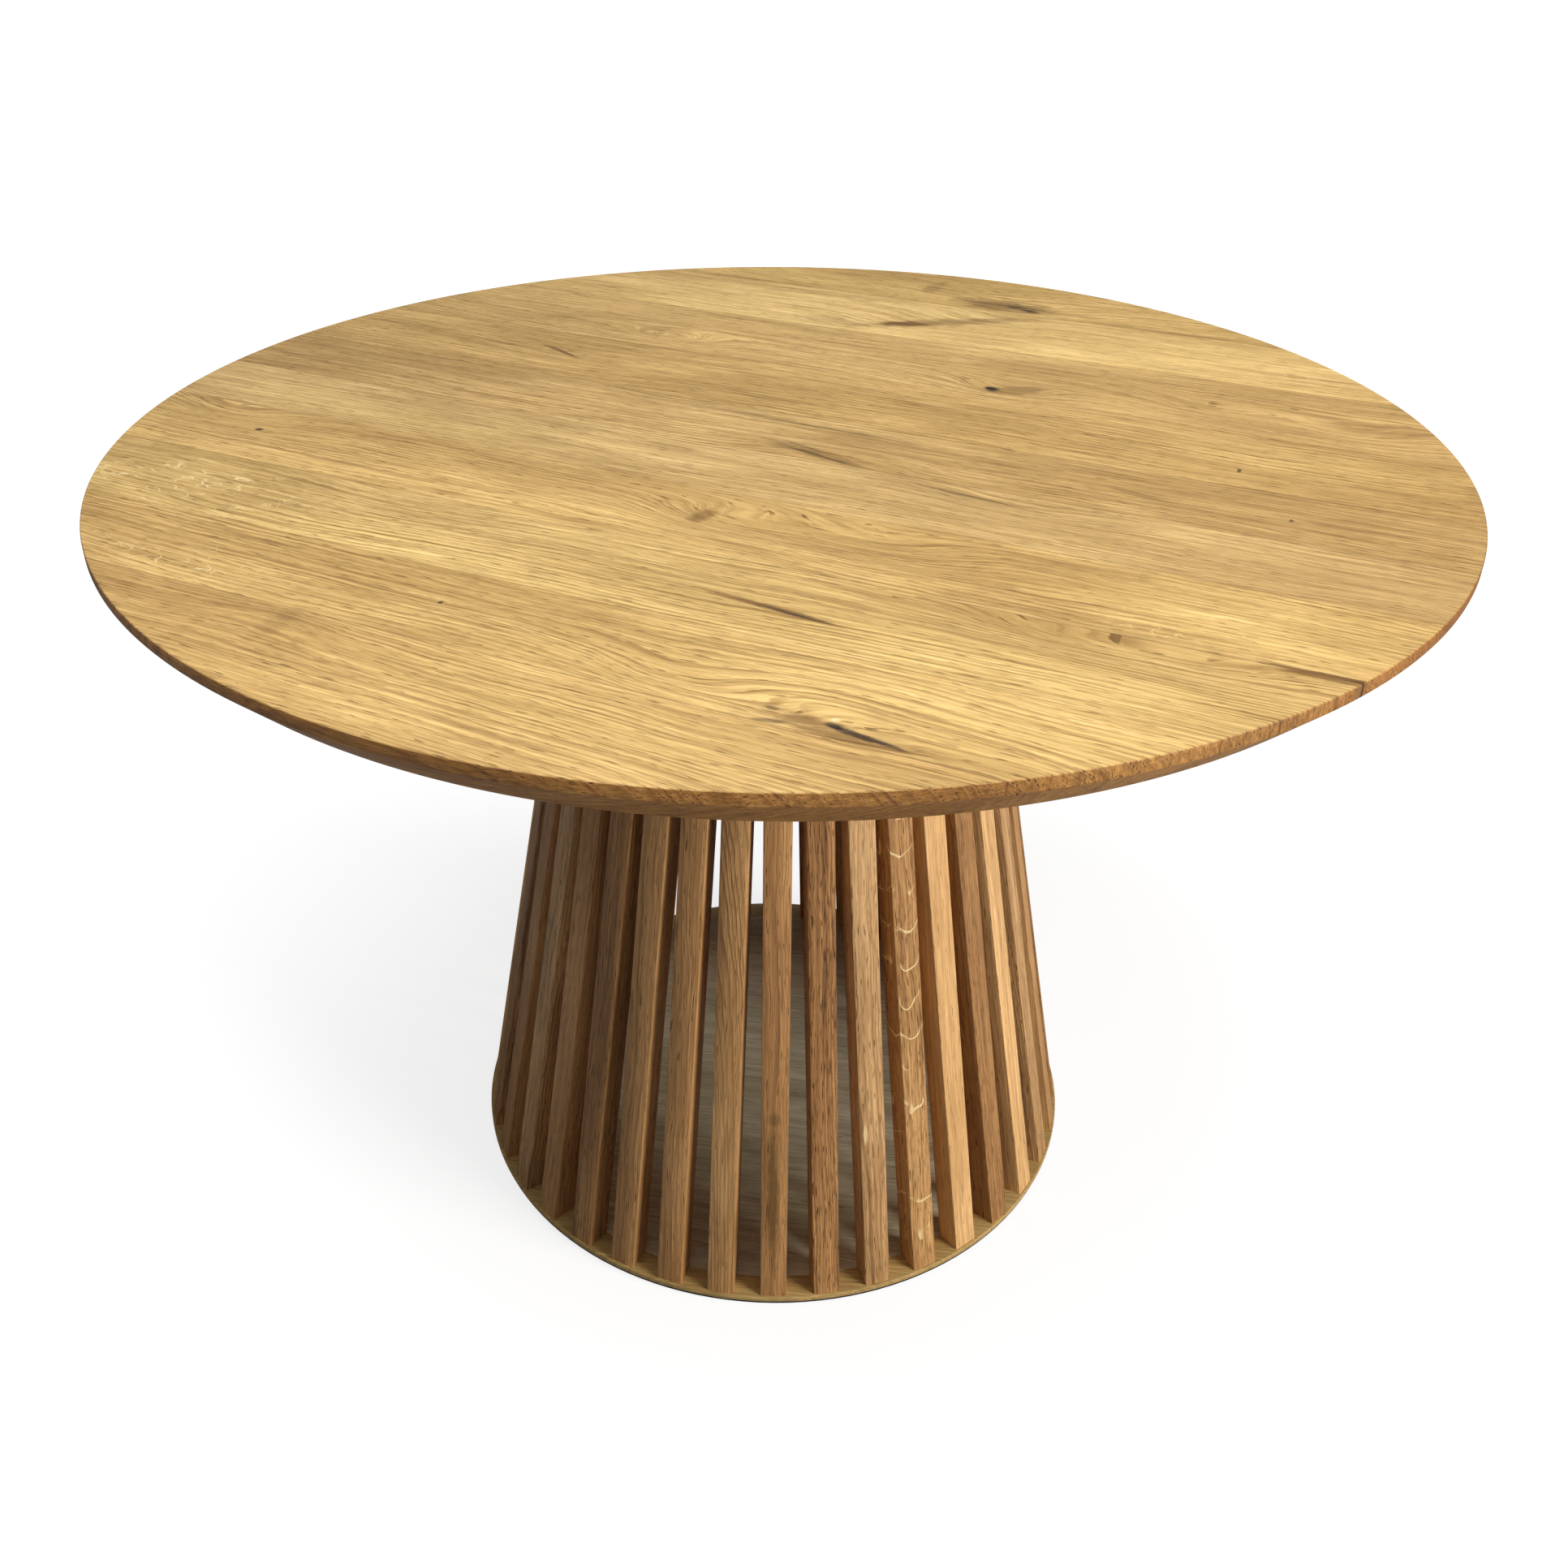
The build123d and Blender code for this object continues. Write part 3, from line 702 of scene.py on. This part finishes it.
for name, pith, tones in zip(stave_names, board_piths, board_tones):
    near, far = reach(name, across)
    middle = (near + far) / 2
    stave = copy_of(blank)
    stave.name = name.replace("top_", "oak_")
    edit(stave)
    if near > -top_radius + rim_margin:
        cut(stave, across * near, across, clear_inner=True, use_fill=True)
    if far < top_radius - rim_margin:
        cut(stave, across * far, across, clear_outer=True, use_fill=True)
    close_edit()
    carve(stave, groove_cutter)
    if name == gap_stave:
        carve(stave, gap_cutter)
    bpy.ops.object.shade_smooth_by_angle(angle=radians(25))
    pith_aside, pith_depth, slope, ring_width, ring_strength = pith
    values = {
        "Seed": float(name[-2:]),
        "Pith Across": middle + pith_aside,
        "Pith Depth": pith_depth,
        "Pith Slope": slope,
        "Wander": 0.06,
        "Ring Width": ring_width,
        "Ring Strength": ring_strength,
        "Streaks": 0.85,
        "Pores": 0.90,
        "Layering": 0.3 if name in ("top_stave_02", "top_stave_03") else 1.3,
        **wood_tones(*tones),
    }
    seams = [edge for edge in (near, far) if abs(edge) < top_radius - rim_margin]
    marks = [row[1:] for row in board_marks if row[0] == int(name[-2:])]
    finish = oiled_board("board_" + name[-2:], board_coordinates, values, marks, seams, along)
    stave.data.materials.append(finish)
    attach(stave, "root")
    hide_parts(name)

for spare in (blank, groove_cutter, gap_cutter):
    bpy.data.objects.remove(spare)

# ---- slats ------------------------------------------------------------
# Thirty-eight straight oak bars, planed square with their edges just broken, sawn level at
# both ends so that they stand on the disc and meet the plate, and screwed from both ends.
slat_names = sorted(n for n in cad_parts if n.startswith("slat_") and n[5:].isdigit())
slat_low, slat_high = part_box(slat_names[0])
slat_width = 0.025
slat_depth = 0.024
slat_arris = 0.0009
slat_steps = 36
spare_length = 0.020


def slat_angle(name):
    """The way a slat faces, from where its foot stands."""
    foot = [v.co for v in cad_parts[name].data.vertices if v.co.z < slat_low.z + 0.001]
    middle = sum(foot, Vector()) / len(foot)
    return Vector((middle.x, middle.y)).angle_signed(Vector((1, 0)))


def level_reach(name, height):
    """Inner and outer distance of a slat from the table's axis at one of its ends."""
    angle = slat_angle(name)
    outward = Vector((cos(angle), sin(angle), 0))
    places = [
        v.co.dot(outward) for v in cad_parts[name].data.vertices if abs(v.co.z - height) < 1e-4
    ]
    return min(places), max(places)


foot_inner, foot_outer = level_reach(slat_names[0], slat_low.z)
head_inner, head_outer = level_reach(slat_names[0], slat_high.z)
foot_centre = Vector(((foot_inner + foot_outer) / 2, 0, slat_low.z))
head_centre = Vector(((head_inner + head_outer) / 2, 0, slat_high.z))
slat_axis = (head_centre - foot_centre).normalized()
slat_length = (head_centre - foot_centre).length

bpy.ops.object.select_all(action="DESELECT")
bpy.ops.mesh.primitive_cube_add(size=1.0)
pattern_slat = bpy.context.object
pattern_slat.scale = (slat_depth, slat_width, slat_length + spare_length)
settle()
edit(pattern_slat)
pick(pattern_slat, "edges", lambda e: abs(e.verts[0].co.z - e.verts[1].co.z) > slat_length / 2)
bpy.ops.mesh.bevel(offset=slat_arris, segments=2, affect="EDGES")
for step in range(1, slat_steps):
    cut(pattern_slat, (0, 0, slat_length * (step / slat_steps - 0.5)), (0, 0, 1))
close_edit()
# Keep each point's place in the straight bar, so that the grain follows the slat.
pattern_slat.data.attributes.new("bar_place", "FLOAT_VECTOR", "POINT")
lean = Vector((0, 0, 1)).rotation_difference(slat_axis).to_matrix().to_4x4()
stand = Matrix.Translation((foot_centre + head_centre) / 2) @ lean
pattern_slat.data.transform(stand)
edit(pattern_slat)
cut(pattern_slat, (0, 0, slat_low.z), (0, 0, 1), clear_inner=True, use_fill=True)
cut(pattern_slat, (0, 0, slat_high.z), (0, 0, 1), clear_outer=True, use_fill=True)
close_edit()
upright = stand.inverted()
bar_place = pattern_slat.data.attributes["bar_place"]
for vertex, stored in zip(pattern_slat.data.vertices, bar_place.data):
    local = upright @ vertex.co
    stored.vector = (local.z, local.y, local.x)


def bar_coordinates(tree):
    """A slat's own coordinates, X along the bar."""
    stored = put(tree, "Attribute", attribute_name="bar_place", attribute_type="GEOMETRY")
    return stored.outputs["Vector"]


# Kinds of bar: pale, middle and dark tone, then ring width and strength, streaks, pores, and
# how far the pith lay to the side of the bar and below its face, and how its line slopes.
bar_kinds = {
    "plain": (
        (0.594, 0.320, 0.120), (0.473, 0.236, 0.082), (0.220, 0.100, 0.030),
        0.0032, 0.65, 0.55, 0.8, 0.050, -0.060, 0.004,
    ),
    "brown": (
        (0.495, 0.254, 0.089), (0.385, 0.187, 0.061), (0.165, 0.070, 0.020),
        0.0028, 0.70, 0.70, 1.1, 0.060, -0.040, 0.006,
    ),
    "porous": (
        (0.572, 0.296, 0.108), (0.451, 0.216, 0.072), (0.132, 0.056, 0.016),
        0.0034, 0.95, 0.90, 2.0, 0.090, -0.030, 0.002,
    ),
    "striped": (
        (0.660, 0.389, 0.168), (0.517, 0.284, 0.112), (0.231, 0.111, 0.039),
        0.0030, 1.00, 0.80, 1.0, 0.060, -0.050, 0.030,
    ),
    "curved": (
        (0.638, 0.362, 0.143), (0.506, 0.268, 0.096), (0.231, 0.107, 0.033),
        0.0034, 1.00, 0.60, 0.6, 0.035, -0.030, 0.120,
    ),
    "rayed": (
        (0.616, 0.334, 0.122), (0.484, 0.247, 0.083), (0.204, 0.092, 0.028),
        0.0030, 0.80, 0.80, 1.6, 0.080, -0.020, 0.004,
    ),
    "pale": (
        (0.858, 0.514, 0.219), (0.726, 0.415, 0.163), (0.418, 0.218, 0.079),
        0.0036, 0.50, 0.45, 0.6, 0.045, -0.070, 0.005,
    ),
}
bar_order = (
    "plain porous striped rayed pale brown pale striped plain brown pale striped porous "
    "plain striped pale brown curved porous plain striped brown pale plain porous striped "
    "brown plain curved pale brown plain striped plain brown plain plain curved"
).split()
# Figures on single bars, written as for the boards, in metres from the middle of the bar.
bar_marks = {
    "slat_01": (
        ("Stain", 0.95, -0.245, -0.0010, 0.085, 0.0070, 0.01),
        ("Stain", 0.55, -0.160, -0.0015, 0.008, 0.0065),
        ("Stain", 0.35, -0.230, -0.0085, 0.070, 0.0014),
    ),
    "slat_03": (("Dot", 0.8, -0.185, -0.0070, 0.012, 0.0022),),
    "slat_04": (
        ("Arcs", 1.0, 0.180, 0.0, 0.180, 0.030),
        ("Arcs", 1.0, -0.080, 0.0, 0.170, 0.026),
        ("Arcs", 0.9, -0.300, 0.0, 0.050, 0.026),
    ),
    "slat_35": (("Stain", 0.45, 0.000, 0.004, 0.160, 0.0040, 0.01),),
    "slat_07": (("Brown", 0.45, 0.050, 0.0, 0.180, 0.0050),),
}
for number, (name, kind) in enumerate(zip(slat_names, bar_order)):
    slat = copy_of(pattern_slat)
    slat.name = name.replace("slat_", "oak_slat_")
    slat.data.transform(Matrix.Rotation(slat_angle(name), 4, "Z"))
    pale, mid, dark, *rings = bar_kinds[kind]
    ring_width, ring_strength, streaks, pores, aside, below, slope = rings
    values = {
        "Seed": 20.0 + number,
        "Pith Across": -aside - 0.012 * cos(2.4 * number),
        "Pith Depth": below + 0.010 * sin(1.7 * number),
        "Pith Slope": slope,
        "Wander": 0.018,
        "Ring Width": ring_width,
        "Ring Strength": ring_strength,
        "Streaks": streaks,
        "Pores": pores,
        **wood_tones(pale, mid, dark),
    }
    marks = bar_marks.get(name, ())
    finish = oiled_board(f"bar_{number + 1:02d}", bar_coordinates, values, marks)
    slat.data.materials.append(finish)
    select_only(slat)
    bpy.ops.object.shade_smooth_by_angle(angle=radians(40))
    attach(slat, "root")
    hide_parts(name)
bpy.data.objects.remove(pattern_slat)

# ---- foot disc --------------------------------------------------------
# A thin oak-faced disc that the slats stand on: a solid lipping runs round its rim, and the
# panel inside it is paler and greyer. The slats' screws come up through it.
disc_low, disc_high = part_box("base_disc")
disc_radius = disc_high.x
lipping_width = 0.026
lipping_inner = disc_radius - lipping_width
foot_disc = round_bar(256, disc_radius, disc_low.z, disc_high.z)
foot_disc.name = "oak_foot_disc"
edit(foot_disc)
round_over(foot_disc, disc_high.z, disc_radius, offset=0.0010, segments=3)
round_over(foot_disc, disc_low.z, disc_radius, offset=0.0005, segments=2)
# A fine groove where the lipping meets the panel.
groove_width = 0.0008
groove_depth = 0.0005
for inner, depth in ((lipping_inner, 0.0), (lipping_inner - groove_width, -groove_depth)):
    pick(foot_disc, "faces", lambda f: f.normal.z > 0.9 and f.calc_center_median().length < 0.02)
    bpy.ops.mesh.inset(thickness=0.0001, use_boundary=True)
    mesh = bmesh.from_edit_mesh(foot_disc.data)
    picked = {v for f in mesh.faces if f.select for v in f.verts}
    share = inner / max(v.co.to_2d().length for v in picked)
    bpy.ops.transform.resize(value=(share, share, 1.0), center_override=(0, 0, disc_high.z))
    bpy.ops.transform.translate(value=(0, 0, depth))
close_edit()
bpy.ops.object.shade_smooth_by_angle(angle=radians(30))


def disc_coordinates(tree):
    """Object coordinates with X along the disc's veneer, set square to the view of the front."""
    inputs = {
        "Vector": put(tree, "TexCoord").outputs["Object"],
        "Location": (0, 0, -disc_high.z),
        "Rotation": (0, 0, radians(8)),
    }
    return put(tree, "Mapping", inputs).outputs["Vector"]


lipping_look = {
    "Seed": 70.0, "Pith Across": -0.60, "Pith Depth": -0.05, "Pith Slope": 0.01, "Wander": 0.06,
    "Ring Width": 0.0045, "Ring Strength": 0.5, "Streaks": 0.6, "Pores": 0.5,
    **wood_tones((0.60, 0.40, 0.15), (0.50, 0.32, 0.11), (0.28, 0.16, 0.05)),
}
panel_look = dict(lipping_look)
panel_look.update({
    "Seed": 71.0, "Ring Width": 0.016, "Ring Strength": 0.35, "Streaks": 0.45,
    **wood_tones((0.80, 0.70, 0.50), (0.62, 0.53, 0.35), (0.38, 0.30, 0.18)),
})
foot_disc.data.materials.append(oiled_board("foot_lipping", disc_coordinates, lipping_look))
foot_disc.data.materials.append(oiled_board("foot_panel", disc_coordinates, panel_look))
for face in foot_disc.data.polygons:
    rim_reach = max(foot_disc.data.vertices[v].co.to_2d().length for v in face.vertices)
    if face.normal.z > 0.5 and rim_reach < lipping_inner + 0.0001:
        face.material_index = 1
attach(foot_disc, "root")
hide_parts("base_disc")

# ---- steel plates -----------------------------------------------------
# Round steel plates cut by laser and powder coated satin black: one under the foot disc, one
# between the slats' heads and the top, countersunk and drilled for their screws and bolts.
coat, given, made = new_group(
    "powder_coat",
    values=(("Peel", 700.0), ("Dust", 0.3)),
    results=finish_results,
)
peel_inputs = {0: given["Vector"], "Scale": given["Peel"]}
peel_place = put(coat, "VectorMath", peel_inputs, operation="SCALE").outputs[0]
peel = noise(coat, peel_place, (1.0, 1.0), 5.0, 2.0)["Fac"]
dust = noise(coat, given["Vector"], (14.0, 14.0), 9.0, 5.0, 0.65)["Fac"]
dust = maths(coat, "MULTIPLY", remap(coat, dust, 0.48, 0.72), given["Dust"])
black = blend(coat, remap(coat, peel, 0.3, 0.7), (0.010, 0.010, 0.011, 1), (0.019, 0.019, 0.020, 1))
coat.links.new(blend(coat, dust, black, (0.085, 0.078, 0.068, 1.0)), made["Color"])
coat.links.new(maths(coat, "MULTIPLY_ADD", dust, 0.35, 0.42), made["Roughness"])
coat.links.new(peel, made["Height"])


def grouped_finish(name, group, values, metallic=0.0, bump_strength=0.3, bump_distance=0.0002):
    """A material whose colour, gloss and relief come from one group on Object coordinates."""
    finish, tree, shader = new_finish(name)
    surface = put(tree, "Group", node_tree=group)
    tree.links.new(put(tree, "TexCoord").outputs["Object"], surface.inputs["Vector"])
    for title, value in values.items():
        surface.inputs[title].default_value = value
    join_up(tree, surface, shader, bump_strength, bump_distance)
    shader.inputs["Metallic"].default_value = metallic
    return finish


def refinish(name, finish):
    """Give a CAD node a finish in place of its plain one."""
    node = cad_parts[name]
    node.data.materials.clear()
    node.data.materials.append(finish)


plate_finish = grouped_finish("satin_black_coat", coat, {"Peel": 700.0, "Dust": 0.35})
refinish("base_plate", plate_finish)
refinish("top_plate", plate_finish)

# ---- channels under the top -------------------------------------------
# Two rolled steel channels, zinc plated, let into grooves across the grain to keep the top
# flat. Screws through slots hold them, so that the staves can still swell and shrink.
zinc, given, made = new_group(
    "zinc_plate",
    values=(("Rolled", 1.0),),
    results=finish_results,
)
spangle = put(zinc, "TexVoronoi", {"Vector": given["Vector"], "Scale": 420.0}).outputs
rolled = noise(zinc, given["Vector"], (9.0, 700.0), 4.0, 3.0, 0.6)["Fac"]
rolled = maths(zinc, "MULTIPLY", rolled, given["Rolled"])
stain = noise(zinc, given["Vector"], (22.0, 22.0), 6.0, 5.0, 0.7)["Fac"]
bright = put(zinc, "SeparateColor", {0: spangle["Color"]}).outputs[0]
metal = blend(zinc, bright, (0.46, 0.48, 0.50, 1.0), (0.58, 0.60, 0.62, 1.0))
metal = blend(zinc, remap(zinc, stain, 0.50, 0.72, 0.0, 0.55), metal, (0.30, 0.30, 0.29, 1.0))
zinc.links.new(metal, made["Color"])
zinc_gloss = maths(zinc, "MULTIPLY_ADD", rolled, 0.20, 0.26)
zinc.links.new(maths(zinc, "MULTIPLY_ADD", stain, 0.2, zinc_gloss), made["Roughness"])
zinc.links.new(rolled, made["Height"])
channel_finish = grouped_finish("zinc_channel", zinc, {"Rolled": 1.0}, metallic=1.0)
for name in channel_names:
    refinish(name, channel_finish)

# ---- screws, bolts and inserts ----------------------------------------
# Countersunk wood screws into both ends of each slat and pan-head screws in the channels'
# slots, zinc plated; black button-head bolts up into turned brass inserts in the staves.
screw_finish = grouped_finish("zinc_screw", zinc, {"Rolled": 0.4}, metallic=1.0)
shank_radius = 0.00225
point_length = 0.0015
recess_reach, recess_width, recess_depth = 1.05, 0.22, 1.1


def driven_screw(z_out, head_radius, head_height, length, countersunk):
    """One screw on the table's axis with a cross recess, its head's face at z = 0, looking out
    along z_out, and its shank going the other way."""
    screw = round_bar(24, head_radius, -head_height, 0.0)
    screw.name = "screw"
    edit(screw)
    pick(screw, "faces", lambda f: f.normal.z < -0.9)
    if countersunk:
        share = shank_radius / head_radius
        bpy.ops.transform.resize(value=(share, share, 1.0), center_override=(0, 0, -head_height))
    else:
        bpy.ops.mesh.inset(thickness=head_radius - shank_radius)
    bpy.ops.mesh.extrude_region_move(TRANSFORM_OT_translate={"value": (0, 0, head_height - length)})
    bpy.ops.mesh.inset(thickness=shank_radius * 0.8)
    bpy.ops.transform.translate(value=(0, 0, -point_length))
    if not countersunk:
        round_over(screw, 0.0, head_radius, offset=0.0009, segments=3)
    close_edit()
    for turn in (0, pi / 2):
        bpy.ops.mesh.primitive_cube_add(size=1.0, rotation=(0, 0, turn))
        blade = bpy.context.object
        blade.scale = (
            head_radius * recess_reach,
            head_radius * recess_width,
            head_height * recess_depth,
        )
        carve(screw, blade)
        bpy.data.objects.remove(blade)
    if z_out < 0:
        screw.data.transform(Matrix.Rotation(pi, 4, "X"))
    return screw


def set_out(pattern, name, places, replaced, finish):
    """Copies of a pattern at their places, joined as one piece that stands for a CAD node."""
    copies = [copy_of(pattern) for spot in places]
    for one, spot in zip(copies, places):
        one.data.transform(Matrix.Translation(spot))
    bpy.data.objects.remove(pattern)
    group = joined(copies)
    group.name = name
    group.data.materials.clear()
    group.data.materials.append(finish)
    bpy.ops.object.shade_smooth_by_angle(angle=radians(35))
    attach(group, "root")
    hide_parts(replaced)


def ring_places(radius, count, z):
    """Places evenly round the table's axis, from the first slat's angle on."""
    angles = [first_slat + 2 * pi * step / count for step in range(count)]
    return [Vector((radius * cos(angle), radius * sin(angle), z)) for angle in angles]


def middle_radius(name):
    """The radius of the circle on which a CAD node's solids stand."""
    reaches = from_axis(name)
    return (max(reaches) + min(reaches)) / 2


first_slat = slat_angle(slat_names[0])
wood_head, wood_head_height = 0.0043, 0.0020
head_low, head_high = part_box("slat_head_screws")
foot_low, foot_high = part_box("slat_foot_screws")
pattern = driven_screw(1, wood_head, wood_head_height, head_high.z - head_low.z, True)
spots = ring_places(middle_radius("slat_head_screws"), len(slat_names), head_high.z)
set_out(pattern, "slat_head_screw_set", spots, "slat_head_screws", screw_finish)
pattern = driven_screw(-1, wood_head, wood_head_height, foot_high.z - foot_low.z, True)
spots = ring_places(middle_radius("slat_foot_screws"), len(slat_names), foot_low.z)
set_out(pattern, "slat_foot_screw_set", spots, "slat_foot_screws", screw_finish)

# The channel screws stand in two rows along the channels, evenly spaced.
pan_low, pan_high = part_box("stiffener_screws")
row_across = reach("stiffener_screws", across)
pan_head, pan_head_height = 0.0045, 0.0025
screws_in_row = 5
spots = []
for channel in channel_names:
    low_along, high_along = reach(channel, along)
    row = (row_across[0] + pan_head, row_across[1] - pan_head)
    for step in range(screws_in_row):
        run = row[0] + (row[1] - row[0]) * step / (screws_in_row - 1)
        spot = along * (low_along + high_along) / 2 + across * run
        spots.append(Vector((spot.x, spot.y, pan_low.z)))
pattern = driven_screw(-1, pan_head, pan_head_height, pan_high.z - pan_low.z, False)
set_out(pattern, "channel_screw_set", spots, "stiffener_screws", screw_finish)

refinish("top_bolts", grouped_finish("black_bolt", coat, {"Peel": 1500.0, "Dust": 0.15}))
brass, given, made = new_group(
    "turned_brass",
    values=(("Tool Marks", 1.0),),
    results=finish_results,
)
turned = noise(brass, given["Vector"], (30.0, 1800.0), 3.0, 2.0)["Fac"]
turned = maths(brass, "MULTIPLY", turned, given["Tool Marks"])
tarnish = noise(brass, given["Vector"], (90.0, 90.0), 8.0, 4.0, 0.6)["Fac"]
worn = remap(brass, tarnish, 0.45, 0.7)
metal = blend(brass, worn, (0.72, 0.52, 0.20, 1.0), (0.42, 0.27, 0.10, 1.0))
brass.links.new(metal, made["Color"])
brass.links.new(maths(brass, "MULTIPLY_ADD", tarnish, 0.3, 0.15), made["Roughness"])
brass.links.new(turned, made["Height"])
refinish("top_inserts", grouped_finish("brass_insert", brass, {"Tool Marks": 1.0}, metallic=1.0))

# ---- felt pads --------------------------------------------------------
# Twelve self-adhesive discs of grey-brown pressed felt under the base plate, thick enough to
# keep the steel off the floor, their edges rounded over.
felt_low, felt_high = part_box("felt_pads")
felt_radius = 0.020
felt_count = 12
felt_thickness = felt_high.z - felt_low.z
felt_ring = max(from_axis("felt_pads")) - felt_radius
pad = round_bar(64, felt_radius, 0.0, felt_thickness)
edit(pad)
round_over(pad, felt_thickness, felt_radius, offset=0.0003, segments=2)
round_over(pad, 0.0, felt_radius, offset=0.0004, segments=2)
close_edit()
felt, given, made = new_group(
    "pressed_felt",
    values=(("Fluff", 1.0),),
    results=finish_results,
)
hairs = noise(felt, given["Vector"], (900.0, 1600.0), 2.0, 4.0, 0.75)["Fac"]
tufts = noise(felt, given["Vector"], (160.0, 160.0), 6.0, 3.0)["Fac"]
loose = remap(felt, hairs, 0.35, 0.65)
wool = blend(felt, loose, (0.10, 0.085, 0.068, 1.0), (0.20, 0.175, 0.145, 1.0))
wool = blend(felt, remap(felt, tufts, 0.45, 0.75, 0.0, 0.5), wool, (0.27, 0.24, 0.20, 1.0))
felt.links.new(wool, made["Color"])
felt.links.new(maths(felt, "MULTIPLY_ADD", tufts, 0.1, 0.88), made["Roughness"])
felt.links.new(maths(felt, "MULTIPLY", hairs, given["Fluff"]), made["Height"])
spots = ring_places(felt_ring, felt_count, felt_low.z)
felt_finish = grouped_finish("felt", felt, {"Fluff": 1.0}, bump_strength=0.8, bump_distance=0.0004)
set_out(pad, "felt_pad_set", spots, "felt_pads", felt_finish)
